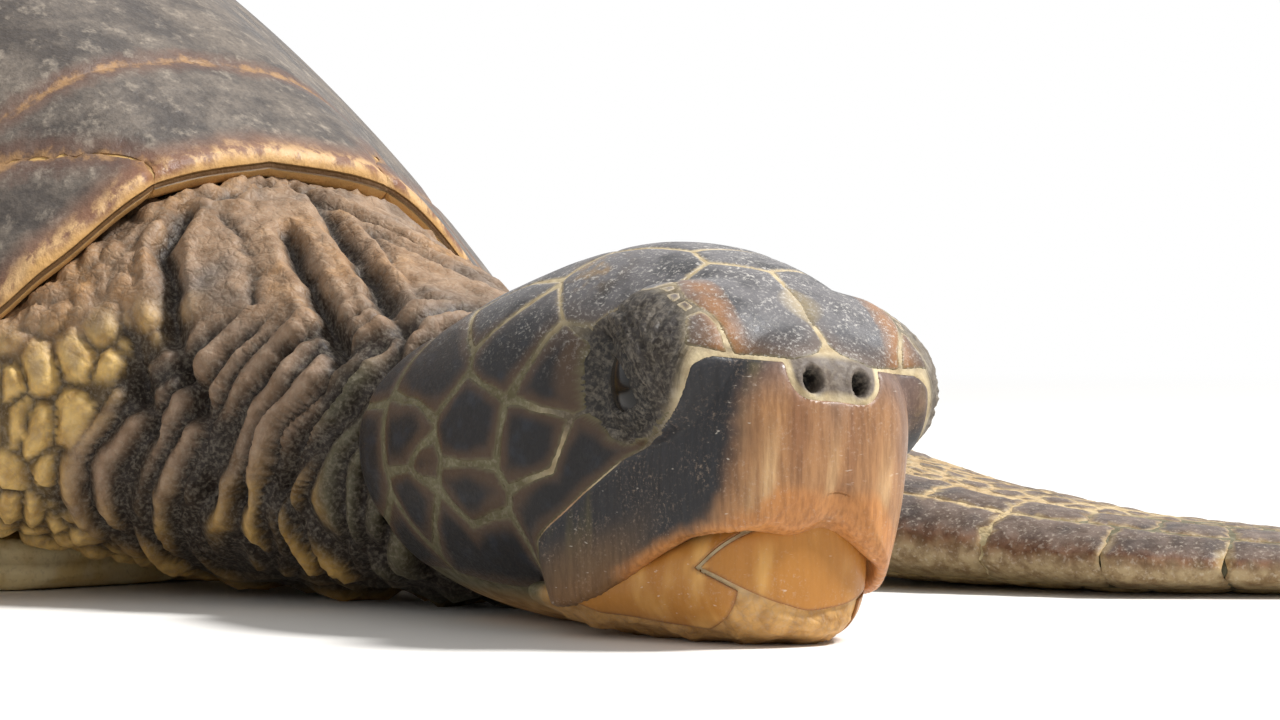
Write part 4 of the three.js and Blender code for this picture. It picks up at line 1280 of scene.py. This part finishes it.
def scuteSurface():
    # scutes: slate with pale streaks, red-brown and then yellow towards the borders, golden on the rim, and a darker
    # gold under the rim: partly its own tone, partly painted shade
    material, tree, shader, place = newMaterial("scute", rough=0.5)
    inward, lip = carried(tree, "inward", "lip")
    mottle, rays, fine = mottles(tree, place, (22, 5, 0.62), (8, 5, 0.68, (1, 1, 0.35)), (2.2, 4, 0.6))
    edge, wave = (nodeInto(tree, "ShaderNodeMath", {"operation": "MULTIPLY_ADD", 0: source, 1: reach, 2: way})
                  for source, reach, way in ((rays, 14.0, inward), (mottle, 12.0, lip)))
    line = shareOf(tree, (lip, 3.0, 4.2), (lip, 6.2, 5.0))
    slate = {"data_type": "RGBA", 0: shareOf(tree, (mottle, 0.36, 0.64)), 6: "#48413c", 7: "#73695f"}
    layered(tree, shader, nodeInto(tree, "ShaderNodeMix", slate, 2),
            ("MIX", "#a79a8a", (rays, 0.52, 0.72, 0, 0.6)),
            ("MIX", "#33302f", (fine, 0.4, 0.66, 0, 0.35)),
            ("MIX", "#644638", (edge, 8, 17, 0.6, 0)),
            ("MIX", "#ac8558", (edge, 5.5, 9, 0.7, 0)),
            ("MIX", "#8a5a3d", (wave, -12, 5), 0.6),
            ("MIX", "#cda777", (wave, -4, 6), (rays, 0.42, 0.6)),
            ("MIX", "#c59a60", (wave, 5, 10)),
            ("MIX", "#4d3320", line, 0.85),
            # darker gold under the rim: partly its own tone, partly painted shade
            ("MIX", "#a9844f", (lip, 9, 16)))
    tree.links.new(shareOf(tree, (mottle, 0.3, 0.7, 0.42, 0.62)), shader.inputs["Roughness"])
    relief(tree, shader, (mottle, 2.2), (rays, 0.7), (fine, 0.25), (shareOf(tree, (line, 1, 0)), 1.2))
    return material


def limbScaleSurface():
    # scales of the flippers: matt, with small mottles and pale specks
    material, tree, shader, place = newMaterial("limb scale", rough=0.5)
    paint, = carried(tree, "pointColour")
    mottle, fine = mottles(tree, place, (6, 5, 0.62), (1.6, 4, 0.6))
    layered(tree, shader, paint,
            ("MULTIPLY", "#b9aa9c", (mottle, 0.36, 0.68)),
            ("MIX", "#d9cdbb", (fine, 0.52, 0.7, 0, 0.3)))
    tree.links.new(shareOf(tree, (fine, 0.3, 0.7, 0.42, 0.6)), shader.inputs["Roughness"])
    relief(tree, shader, (mottle, 0.6), (fine, 0.15))
    return material


def bellySurface():
    # smooth cream plates with tan seams and faint scratches
    material, tree, shader, place = newMaterial("belly plate", rough=0.5)
    paint, = carried(tree, "pointColour")
    mottle, fine = mottles(tree, place, (26, 4, 0.6), (2, 4, 0.6))
    layered(tree, shader, paint,
            ("MULTIPLY", "#d8c08a", (mottle, 0.35, 0.65, 0, 0.7)),
            ("MIX", "#8a6d45", (fine, 0.5, 0.7, 0, 0.25)))
    relief(tree, shader, (mottle, 1.0), (fine, 0.15))
    return material


def plainSurface(name, one, other, size, rough, bump):
    # two tones mottled into each other, with a low relief
    material, tree, shader, place = newMaterial(name, one, rough)
    mottle, = mottles(tree, place, (size, 4, 0.6))
    layered(tree, shader, one, ("MIX", other, (mottle, 0.35, 0.65)))
    relief(tree, shader, (mottle, bump))
    return material


skinMaterial, scaleMaterial = skinSurface(), scaleSurface()
hornMaterial = hornSurface("horn of the upper beak", 0.42)
jawHornMaterial = hornSurface("horn of the lower beak", 0.1)
scuteMaterial, limbScaleMaterial, bellyMaterial = scuteSurface(), limbScaleSurface(), bellySurface()
boneMaterial = plainSurface("growing edge between the scutes", "#c8a468", "#8f6a42", 9, 0.6, 0.5)
clawMaterial = plainSurface("claw", "#6a5238", "#3f3026", 6, 0.35, 0.2)
eyeMaterial = newMaterial("wet eye", "#0b0908", 0.16)[0]


# Pieces of the head

def finished(piece, material, slot, *nodes):
    piece.data.materials.append(material)
    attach(piece, "root")
    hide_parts(*nodes)
    return piece


skinValues = {"pointColour": skinPaint(skinPoints / mm, skinBase)}
skinValues |= zip(("lidPlace", "onLid", "leathery"), skinWays(skinPoints / mm, skinBase))
skin = makePiece("skin", skinPoints, skinFaces, skinValues)
finished(skin, skinMaterial, "skin", "head", "lower_jaw", *fleshNodes)


def headPiece(name, points, faces, label, depth, look, uv, paint):
    # plates over the head or the jaw, in the head's own frame
    p, f, values = platesOver(points, normalsOf(points, faces), faces, label, depth, scaleLook[look], {"uv": uv})
    # higher up on the head: wear, and painted glints of light
    shown = {"pointColour": paint(p, values["inward"]), "wearAndGlints": smooth(70, 104, p[:, 2])}
    return makePiece(name, fromHead(p), f, shown, values["uv"])


points, faces, fields = builtHead(headShape["plateSpacing"])
scales = headPiece("head_scales", points, faces, fields["label"], fields["depth"], "plate", fields["uv"], scalePaint)
finished(scales, scaleMaterial, "skin", "head")
oneLabel = np.zeros(len(points), int)
horn = headPiece("upper_horn", points, faces, oneLabel, fields["horn"], "horn", fields["uv"], hornPaint)
finished(horn, hornMaterial, "beak", "upper_beak")
points, faces = jawSurface(jawShape["hornSpacing"])
row, column = np.divmod(np.arange(len(points)), jawColumns(jawShape["hornSpacing"]))
jawUv = np.stack([column, row], -1) / (column.max() + 1, len(points) / (column.max() + 1) + 1)
horn = headPiece("lower_horn", points, faces, *jawField(points), "jawHorn", jawUv, jawHornPaint)
finished(horn, jawHornMaterial, "beak", "lower_beak")

for node, side in (("eye_left", 1), ("eye_right", -1)):
    bpy.ops.mesh.primitive_uv_sphere_add(segments=64, ring_count=40, radius=eye["radius"] * mm)
    ball = bpy.context.object
    ball.name = node + "_ball"
    ball.data.transform(Matrix.Translation(fromHead([side * eye["side"], eye["back"], eye["height"]])))
    ball.data.shade_smooth()
    finished(ball, eyeMaterial, "eye", node)

# The shell's scutes

shell = {
    "centre": 430, "apex": 322, "lip": 10, "marginalShare": 0.88,
    "step": 5.0,  # between points
    "plate": (-0.4, 1.1, 2.5, 2.4),  # a scute's start, rise and its width, and depth of the back
    "seam": 0.9,  # half width of the seams
    "bone": 0.9,  # how far the bone lies under the scutes' own surface
    "hollow": 290,  # height of the room under the shell
}
# rim from the nuchal notch round the left side to the tail: side, back, height, how late the dome drops
rimPoints = [
    (0, 3, 162, 1.9), (54, 0, 153, 1.95), (96, 6, 124, 2.15), (130, 27, 98, 2.3), (204, 90, 88, 2.3),
    (284, 182, 84, 2.25), (338, 288, 82, 2.2), (357, 400, 82, 2.15), (348, 520, 84, 2.15), (312, 642, 88, 2.1),
    (244, 762, 92, 2.1), (150, 856, 88, 2.05), (56, 910, 78, 2.0), (0, 918, 74, 2.0),
]
vertebralEnds, vertebralCorner, vertebralMiddle = (52, 196, 362, 528, 690, 860), 62, 96
marginalSeams = (3, 3.9, 4.8, 5.65, 6.5, 7.35, 8.2, 9.05, 9.95, 10.85, 11.9)
nuchalSeam = ((48, -20), (56, 10), (126, 77))
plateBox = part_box("plastron")
shellShift = np.array([(plateBox[0][0] + plateBox[1][0]) / 2, plateBox[0][1], 0]) / mm - (0, 46, 0)


def signedWay(points, line):
    # distance to a line in plan, positive on the side away from the middle
    nearest = np.full(len(points), 1e9)
    sign = np.ones(len(points))
    for a, b, gap in lineGaps(points, line):
        reach = np.linalg.norm(gap, axis=1)
        nearer = reach < nearest
        turned = (b - a)[0] * gap[:, 1] - (b - a)[1] * gap[:, 0]
        sign = np.where(nearer, np.sign(turned), sign)
        nearest = np.where(nearer, reach, nearest)
    return nearest * -sign


def domeGrid():
    # rows from the dome's middle over the rim's lip to the underside; columns round the shell
    fine = np.linspace(0, len(rimPoints) - 1, 1500)
    left = eased(rimPoints, fine)
    along = lengthAlong(left[:, :3])
    half = int(along[-1] / shell["step"])
    place = np.interp(np.linspace(0, along[-1], half + 1), along, fine)
    place = np.concatenate([place, place[1:-1][::-1]])
    side = np.where(np.arange(len(place)) <= half, 1, -1)
    rim = eased(rimPoints, place)
    rim[:, 0] *= side
    share = 1 - (1 - np.linspace(0.012, 1, int(420 / shell["step"]))) ** 1.12
    centre = shell["centre"]
    rows = []
    for s in share:
        z = rim[:, 2] + (shell["apex"] - rim[:, 2]) * (1 - s ** rim[:, 3])
        rows.append(np.stack([rim[:, 0] * s, centre + (rim[:, 1] - centre) * s, z], -1))
    lip = shell["lip"]
    for s, drop in ((1.002, 0.3), (1.001, 0.6), (0.995, 0.88), (0.985, 1), (0.965, 0.96), (0.945, 0.86),
                    (0.925, 0.76), (0.905, 0.68), (0.885, 0.62)):
        z = rim[:, 2] - lip * drop
        rows.append(np.stack([rim[:, 0] * s, centre + (rim[:, 1] - centre) * s, z], -1))
        share = np.append(share, 2 - s)
    return np.array(rows), share, place, side


def scuteFields(grid, share, place, side):
    # which scute a point belongs to, and how far inside its border it lies
    rows, columns = grid.shape[:2]
    x, y = grid[..., 0].ravel(), grid[..., 1].ravel()
    plan = np.stack([np.abs(x), y], -1)
    p = np.tile(place, rows)
    left = np.tile(side, rows) > 0
    zigzag = [(vertebralMiddle + 8, vertebralEnds[0] - 16), (vertebralCorner, vertebralEnds[1])]
    for i in range(1, 5):
        half = (vertebralEnds[i] + vertebralEnds[i + 1]) / 2
        zigzag += [(vertebralMiddle, half), (vertebralCorner * (1.5 if i == 4 else 1), vertebralEnds[i + 1])]
    outward = signedWay(plan, zigzag)
    label = np.full(len(x), -1)
    depth = np.full(len(x), 99.0)
    travelled = lengthAlong(grid)
    inner = shell["marginalShare"]
    edge = np.array([np.interp(inner, share, travelled[:, j]) for j in range(columns)])
    past = (travelled - edge).ravel()
    marginal = past > 0
    names = []
    across = [-999] + [v for v in vertebralEnds[1:-1]] + [9999]
    for i in range(5):
        inside = (outward < 0) & (y > across[i]) & (y <= across[i + 1]) & ~marginal
        names.append(f"vertebral_{i + 1}")
        label[inside] = len(names) - 1
        depth[inside] = np.minimum.reduce([-outward, np.abs(y - across[i]), np.abs(y - across[i + 1])])[inside]
    seams = [(vertebralEnds[i] + vertebralEnds[i + 1]) / 2 for i in (1, 2, 3)]
    gaps = []
    for half in seams:
        slope = (half - shell["centre"]) * 0.22 / (400 - vertebralMiddle)
        gaps.append((y - half - slope * (np.abs(x) - vertebralMiddle)) / math.hypot(1, slope))
    bounds = [np.full(len(x), 999.0)] + gaps + [np.full(len(x), -999.0)]
    for which, word in ((left, "left"), (~left, "right")):
        for i in range(4):
            inside = (outward >= 0) & which & (bounds[i] > 0) & (bounds[i + 1] <= 0) & ~marginal
            names.append(f"costal_{word}_{i + 1}")
            label[inside] = len(names) - 1
            depth[inside] = np.minimum.reduce([outward, np.abs(bounds[i]), np.abs(bounds[i + 1])])[inside]
    depth = np.where(marginal, depth, np.minimum(depth, -past))
    nuchal = signedWay(plan, nuchalSeam)
    about = lengthAlong(grid[len(share) - 12])
    halfRound = len(place) // 2
    arc = np.interp(p, place[:halfRound + 1], about[:halfRound + 1])
    ends = np.interp(marginalSeams, place[:halfRound + 1], about[:halfRound + 1])
    last = about[halfRound]
    edges = np.concatenate([[0], ends, [last]])
    for which, word in ((left, "left"), (~left, "right")):
        for i in range(12):
            low, high = edges[i], edges[i + 1]
            inside = which & marginal & (arc > low) & (arc <= high) if i else which & marginal & (arc <= high)
            reach = np.minimum(arc - low if i else np.abs(nuchal), high - arc)
            if i == 0:
                inside &= nuchal > 0
            names.append(f"marginal_{word}_{i + 1}" if i < 11 else f"supracaudal_{word}")
            label[inside] = len(names) - 1
            depth[inside] = np.minimum(reach, past)[inside]
    inside = marginal & (nuchal <= 0) & (arc < edges[1])
    names.append("nuchal")
    label[inside] = len(names) - 1
    depth[inside] = np.minimum(np.abs(nuchal), past)[inside]
    return label, depth, names


def shellSurface():
    # the scutes' outer surface, and for each point its scute, the ways in from the seam and out to the lip,
    # and its place in the UV map
    grid, share, place, side = domeGrid()
    label, depth, names = scuteFields(grid, share, place, side)
    rows, columns = grid.shape[:2]
    points = np.concatenate([grid.reshape(-1, 3), [grid[0].mean(axis=0) + (0, 0, 0.2)]]) + shellShift
    faces = np.concatenate([gridFaces(rows, columns)[:, ::-1], poleFan(columns, rows * columns, 0)])
    depth = np.append(depth, depth[0]) - shell["seam"] + 0.5 * noiseAt(points, 14, 500)
    travelled = lengthAlong(grid)
    turned = np.arange(columns) / columns * 2 * math.pi
    disc = travelled[..., None] / travelled[-1].max() / 2.4 * np.stack([np.cos(turned), np.sin(turned)], -1) + 0.5
    lip = np.append((travelled - travelled[np.argmax(share >= 1)]).ravel(), -300.0)
    front = smooth(-60, -230, points[:, 1])
    fields = {"label": np.append(label, label[0]), "depth": depth, "lip": lip - front - 8 * (1 - front),
              "uv": np.concatenate([disc.reshape(-1, 2), [[0.5, 0.5]]])}
    return points, faces, fields, names, rows, columns


def shellBone(points, normals, rows, columns):
    # the bone under the scutes, closed by a hollow from underneath
    base = points - normals * shell["bone"]
    last = base[(rows - 1) * columns:rows * columns]
    middle = shellShift[:2] + (0, shell["centre"])
    rings = []
    for inward, raised in ((0.985, 0), (0.9, 1), (0.6, 1), (0.25, 1)):
        height = last[:, 2] + raised * (shell["hollow"] - last[:, 2]) * (1 - inward ** 3) * 0.9
        rings.append(np.column_stack([middle + (last[:, :2] - middle) * inward, height]))
    bone = np.concatenate([base[:rows * columns], *rings, [rings[-1].mean(axis=0)], base[-1:]])
    rows += len(rings)
    under = poleFan(columns, rows * columns, (rows - 1) * columns)[:, ::-1]
    over = poleFan(columns, rows * columns + 1, 0)
    return bone, np.concatenate([gridFaces(rows, columns)[:, ::-1], over, under])


points, faces, fields, scuteNames, rows, columns = shellSurface()
normals = normalsOf(points, faces)
bonePoints, boneFaces = shellBone(points, normals, rows, columns)
finished(makePiece("carapace_bone", bonePoints * mm, boneFaces), boneMaterial, "scute", *scuteNames)
carry = {"uv": fields["uv"], "own": fields["label"].astype(float), "lip": fields["lip"]}
p, f, values = platesOver(points * mm, normals, faces, fields["label"], fields["depth"] * mm,
                          np.array(shell["plate"]) * mm, carry)
scutes = ownPieces(p, f, values["own"], values["inward"] / mm, values["lip"], values["uv"])
for name, (own, ownFaces, inward, lip, uv) in zip(scuteNames, scutes):
    piece = makePiece(name + "_scute", own, ownFaces, {"inward": inward, "lip": lip}, uv)
    finished(piece, scuteMaterial, "scute", name)
print("scutes", len(f), "faces", len(scuteNames))


# Belly plate and claws

belly = {  # half widths from front to back; the plate is flat in the middle and rises towards the bridges
    "widths": [(46, 60), (72, 128), (130, 176), (206, 236), (270, 302), (400, 316), (540, 300), (604, 232), (680, 170),
               (750, 118), (800, 56)],
    "widest": 306, "flat": 196, "thick": 19, "rise": 84,
    "seams": (112, 214, 330, 452, 588, 694),
}


def bellyPlate():
    across, steps = 84, 190
    places = np.linspace(47, 799, steps)
    half = np.minimum(np.interp(places, *zip(*belly["widths"])), belly["widest"]) - 0.6
    half = np.convolve(np.pad(half, 4, "edge"), np.ones(9) / 9, "valid")
    t = np.linspace(-1, 1, across)
    x = half[:, None] * np.sin(t * math.pi / 2) * 0.35 + half[:, None] * t * 0.65
    y = places[:, None] + np.zeros(across)
    out = np.clip((np.abs(x) - belly["flat"]) / (belly["widest"] - belly["flat"]), 0, 1)
    low = belly["rise"] * out ** 1.35 + 0.4
    border = (half[:, None] - np.abs(x))
    ends = np.minimum(places - 47, 799 - places)[:, None]
    thin = belly["thick"] * 0.5 * (1 - np.sqrt(1 - (1 - np.clip(np.minimum(border, ends + 3) / 12, 0, 1)) ** 2))
    seam = np.abs(x + 5 * np.sin(y / 37))
    for place in belly["seams"]:
        seam = np.minimum(seam, np.abs(y - place - 0.00045 * x ** 2 + 3 * np.sin(x / 29)))
    side = np.abs(np.abs(x) - 0.7 * half[:, None])
    middle = smooth(196, 220, y) * smooth(610, 590, y)
    seam = np.minimum(seam + 60 * smooth(0.7, 0.72, np.abs(x) / half[:, None]) * middle, side + 80 * (1 - middle))
    for place in (262, 330, 398, 470, 540):
        seam = np.minimum(seam, np.abs(y - place) + 60 * smooth(0.72, 0.68, np.abs(x) / half[:, None]))
    groove = 1.2 * np.exp(-((seam / 3.2) ** 2))
    bottom = np.stack([x, y, low + thin + groove], -1)
    top = np.stack([x, y, low + belly["thick"] - thin], -1)[:, ::-1]
    grid = np.concatenate([bottom, top], axis=1)
    points, faces = closedGrid(grid, np.array([grid[0].mean(axis=0), grid[-1].mean(axis=0)]))
    points = points + shellShift
    near = np.concatenate([np.concatenate([seam, seam[:, ::-1] * 0 + 40], axis=1).ravel(), [40, 40]])
    c = skinColours
    broad = layeredNoise(points, 60, 900)
    paint = mixed(c["belly"], c["bellyDark"], smooth(-0.2, 0.7, broad) * 0.6)
    return points, faces[:, ::-1], mixed(paint, c["seamDark"], 0.75 * np.exp(-((near / 3.0) ** 2)))


points, bellyFaces, colours = bellyPlate()
piece = makePiece("belly_plate", points * mm, bellyFaces, {"pointColour": colours})
finished(piece, bellyMaterial, "plastron", "plastron")
for node in [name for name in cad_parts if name.startswith("claw")]:
    points, faces = throughModifiers(*fleshArrays([node]), weld, ("SUBSURF", {"levels": 3, "render_levels": 3}))
    # its root is pushed 3 mm into the edge of the flipper
    close = skinPoints[np.linalg.norm(skinPoints - points.mean(axis=0), axis=1) < 60 * mm]
    gaps = np.linalg.norm(close[:, None] - points[::8], axis=2)
    nearest, root = np.unravel_index(gaps.argmin(), gaps.shape)
    points = points + (close[nearest] - points[::8][root]) * (1 + 3 * mm / max(gaps.min(), mm))
    finished(makePiece(node + "_horn", points, faces), clawMaterial, "claw", node)
print("belly plate", len(bellyFaces), "faces")

# Scales of the flippers

# centre lines from the body out: side, back, height, width; with 1 where the leading edge lies to the right of it
limbs = {
    "leftFront": (1, [(110, 170, 84, 124), (170, 104, 66, 130), (212, 22, 46, 126), (218, -60, 30, 122),
                      (218, -138, 20, 128), (248, -208, 13, 134), (300, -262, 9.5, 130), (362, -300, 7, 108),
                      (420, -322, 5.5, 78), (466, -332, 5, 46), (496, -334, 4.5, 16)]),
    "rightFront": (-1, [(-110, 170, 84, 124), (-176, 114, 66, 130), (-242, 58, 46, 126), (-310, 24, 29, 122),
                        (-372, 24, 18, 128), (-440, 56, 12, 134), (-492, 108, 8.5, 128), (-530, 170, 6.5, 106),
                        (-552, 232, 5.5, 76), (-562, 278, 5, 44), (-564, 306, 4.5, 14)]),
    "leftHind": (1, [(112, 700, 58, 124), (160, 786, 44, 120), (206, 856, 24, 120), (238, 916, 11, 134),
                     (260, 970, 7, 128), (274, 1014, 5.5, 92), (280, 1038, 4.5, 38)]),
    "rightHind": (-1, [(-112, 700, 58, 124), (-160, 786, 44, 120), (-206, 856, 24, 120), (-238, 916, 11, 134),
                       (-260, 970, 7, 128), (-274, 1014, 5.5, 92), (-280, 1038, 4.5, 38)]),
}
limbLook = {
    "spans": (0, 0.35, 0.55, 0.8, 1),  # shares of a limb's length, for which the next two give
    "frontSizes": (22, 28, 36, 26, 12),  # the lengths of the big scales along the leading edge
    "hindSizes": (16, 18, 20, 16, 9),
    "trailing": -0.55,  # where the small scales of the trailing edge start, as a share of the half width
    "spacing": 6.2,  # longest edge between points
    "seam": 0.6,
    "plate": (-0.1, 0.9, 1.8, 1.0),  # start, rise and its width, and depth of the back
}
limbStep = 10000000  # between the labels of two limbs


def limbPlace(points, lead, stations):
    # how far along the limb, how far towards its leading edge as a share, its half width, how far off, and its length
    table = eased(stations, np.linspace(0, len(stations) - 1, 160))
    table[:, :3] += shellShift
    travelled = lengthAlong(table[:, :3])
    gap = points[:, None, :2] - table[None, :, :2]
    nearest = np.argmin((gap ** 2).sum(axis=2), axis=1)
    ahead = np.gradient(table[:, :2], axis=0)
    ahead = unit(ahead)[nearest]
    off = points[:, :2] - table[nearest, :2]
    u = travelled[nearest] + (off * ahead).sum(axis=1)
    v = lead * (off[:, 0] * ahead[:, 1] - off[:, 1] * ahead[:, 0])
    half = table[nearest, 3] / 2
    return u, v / half, half, np.hypot(off[:, 0], off[:, 1]) - half, travelled[-1]


def limbFields(points, under):
    uv = np.zeros((len(points), 2))
    label = np.full(len(points), -1)
    depth = np.full(len(points), -9.0)
    lead = np.zeros(len(points))
    warped = (points + driftAt(points, 14, 700) * 2) * (1, 1, 0.6)
    first, second, own = cellsAt(warped, 13.5, 71, 0.85)
    cells = np.unique(own, return_inverse=True)[1].ravel() + 4000
    small, next_, ownSmall = cellsAt(warped, 8.5, 77, 0.85)
    smallCells = np.unique(ownSmall, return_inverse=True)[1].ravel() + 900000
    trail = limbLook["trailing"]
    for number, (turnSide, stations) in enumerate(limbs.values()):
        u, v, half, off, length = limbPlace(points, turnSide, stations)
        sizes = limbLook["frontSizes" if number < 2 else "hindSizes"]
        size = np.interp(u / length, limbLook["spans"], sizes)
        bend = u + 5 * noiseAt(points, 40, 720)
        fine = np.linspace(-60, length + 60, 800)
        steps = np.diff(fine) / np.interp(fine / length, limbLook["spans"], sizes)[:-1]
        count = np.append(0, np.cumsum(steps))
        row = np.interp(bend, fine, count)
        bandEdge = 0.60 + 0.05 * noiseAt(points, 22, 730)
        lower = 0.22 + 0.06 * noiseAt(points, 18, 740)
        one = np.minimum((0.5 - np.abs(row % 1 - 0.5)) * size, (v - bandEdge) * half)
        row2 = np.interp(bend + 9, fine, count * 1.45)
        two = np.minimum((0.5 - np.abs(row2 % 1 - 0.5)) * size / 1.45, np.minimum(bandEdge - v, v - lower) * half)
        rest = np.where(v < trail, np.minimum((next_ - small) / 2, (trail - v) * half),
                        np.minimum((second - first) / 2, np.minimum(lower - v, v - trail) * half))
        restLabel = np.where(v < trail, smallCells, cells)
        mine = (off < 12) & (u > 0)
        best = np.maximum(one, np.maximum(two, rest))
        which = np.where(one >= best, 100 + np.floor(row), np.where(two >= best, 300 + np.floor(row2), restLabel))
        best = np.minimum(best, (u - 55) / 6)
        label = np.where(mine, (which + number * limbStep).astype(int), label)
        depth = np.where(mine, best, depth)
        lead = np.where(mine, v, lead)
        uv = np.where(mine[:, None], np.stack([np.clip(u / length, 0, 1), (v + 1) / 4 + 0.5 * (under > 0)], -1), uv)
    return label, depth, lead, uv


def limbPaint(points, normals, lead, inward):
    c = hardColours
    small = layeredNoise(points, 9, 750)
    broad = layeredNoise(points, 45, 760)
    above = smooth(-0.25, 0.25, normals[:, 2])
    top = mixed(c["flipper"], c["flipperDark"], smooth(-0.2, 0.6, small + 0.5 * broad))
    top = mixed(top, c["flipperEdge"], smooth(0.5, 0.95, lead) * smooth(0.9, 0.1, normals[:, 2]) * 0.8)
    top = mixed(top, c["flipperUnder"], smooth(0.9, 0.1, inward) * 0.6)
    under = mixed(c["flipperUnder"], c["flipper"], smooth(0.55, 0.85, lead) * 0.55)
    return mixed(under, top, above)


def limbScales():
    points, faces = limbPoints / mm, limbFaces
    x, y = np.abs(points[:, 0] - neckLook["middle"]), points[:, 1]
    out = ((x > 110) & (y < -130)) | (x > 300) | ((y > 430) & (x > 60))  # clear of the shell
    points, faces = compact(points, faces[out[faces].all(axis=1)])
    points, faces = splitLong(points, faces, np.full(len(points), limbLook["spacing"]))
    normals = normalsOf(points, faces)
    label, depth, lead, uv = limbFields(points, -normals[:, 2])
    depth = depth - limbLook["seam"] + 0.25 * noiseAt(points, 5, 770)
    p, f, values = platesOver(points, normals, faces, label, depth, limbLook["plate"],
                              {"uv": uv, "lead": lead, "own": (label // limbStep).astype(float)})
    p[:, 2] = np.maximum(p[:, 2], 0)
    paint = limbPaint(p, normalsOf(p, f), values["lead"], values["inward"])
    nodes = ("front_flipper_left", "front_flipper_right", "hind_flipper_left", "hind_flipper_right")
    for node, (q, own, colours, uvs) in zip(nodes, ownPieces(p, f, values["own"], paint, values["uv"])):
        piece = makePiece(node + "_scales", q * mm, own, {"pointColour": colours}, uvs)
        finished(piece, limbScaleMaterial, "skin", node)
    print("limb scales", len(f), "faces")


limbScales()

# Floor, light and camera

room = {"floor": "#e9e6e1", "key": 430.0, "fill": 7.0, "sky": 0.45}
floorMaterial, floorTree, floorShader, floorPlace = newMaterial("pale studio floor", room["floor"], 0.8)


def directRays(tree):
    # 1 for rays that come from the camera or by way of a shine, for which the backdrop is plain white
    share = nodeInto(tree, "ShaderNodeLightPath", output="Is Camera Ray")
    for kind in ("Is Glossy Ray", "Is Transmission Ray"):
        more = nodeInto(tree, "ShaderNodeLightPath", output=kind)
        share = nodeInto(tree, "ShaderNodeMath", {"operation": "MAXIMUM", 0: share, 1: more})
    return share


away = nodeInto(floorTree, "ShaderNodeVectorMath", {"operation": "LENGTH", 0: floorPlace}, "Value")
white = nodeInto(floorTree, "ShaderNodeEmission", {"Color": "#ffffff", "Strength": 1.0})
backdrop = shareOf(floorTree, (away, 1.2, 3.4), directRays(floorTree))  # the floor goes over into it
fading = nodeInto(floorTree, "ShaderNodeMixShader", {0: backdrop, 1: floorShader.outputs["BSDF"], 2: white})
floorTree.links.new(fading, floorTree.nodes["Material Output"].inputs["Surface"])
bpy.ops.mesh.primitive_plane_add(size=16)
floor = bpy.context.object
floor.name = "floor"
floor.data.materials.append(floorMaterial)


def lampAt(name, place, aim, size, power):
    data = bpy.data.lights.new(name, "AREA")
    data.shape = "DISK"
    data.size = size
    data.energy = power
    lamp = bpy.data.objects.new(name, data)
    bpy.context.scene.collection.objects.link(lamp)
    lamp.location = place
    lamp.rotation_euler = (aim - lamp.location).to_track_quat("-Z", "Y").to_euler()
    return lamp


aim = Vector(eyeMiddle)
lampAt("key light", aim + Vector((1.1, -1.0, 1.9)) * 2.2, aim, 1.0, room["key"])
lampAt("fill light", aim + Vector((-2.4, -1.4, 1.2)), aim, 1.6, room["fill"])
world = bpy.data.worlds.new("studio")
bpy.context.scene.world = world
world.use_nodes = True
sky = world.node_tree.nodes["Background"]
level = nodeInto(world.node_tree, "ShaderNodeMapRange",
                 {"To Min": room["sky"], "To Max": 1.0, "Value": directRays(world.node_tree)})
world.node_tree.links.new(level, sky.inputs["Strength"])
sky.inputs["Color"].default_value = (1, 1, 1, 1)

view = {"place": (-1057.304, -1115.026, 41.969), "aim": (-53.804, -0.526, 10.569), "lens": 135}  # from between the eyes
cameraData = bpy.data.cameras.new("camera")
cameraData.lens = view["lens"]
cameraData.sensor_width = 36
camera = bpy.data.objects.new("camera", cameraData)
bpy.context.scene.collection.objects.link(camera)
camera.location = aim + Vector(view["place"]) * mm
camera.rotation_euler = (Vector(view["aim"]) - Vector(view["place"])).to_track_quat("-Z", "Y").to_euler()
bpy.context.scene.camera = camera
bpy.context.scene.view_settings.view_transform = "Standard"
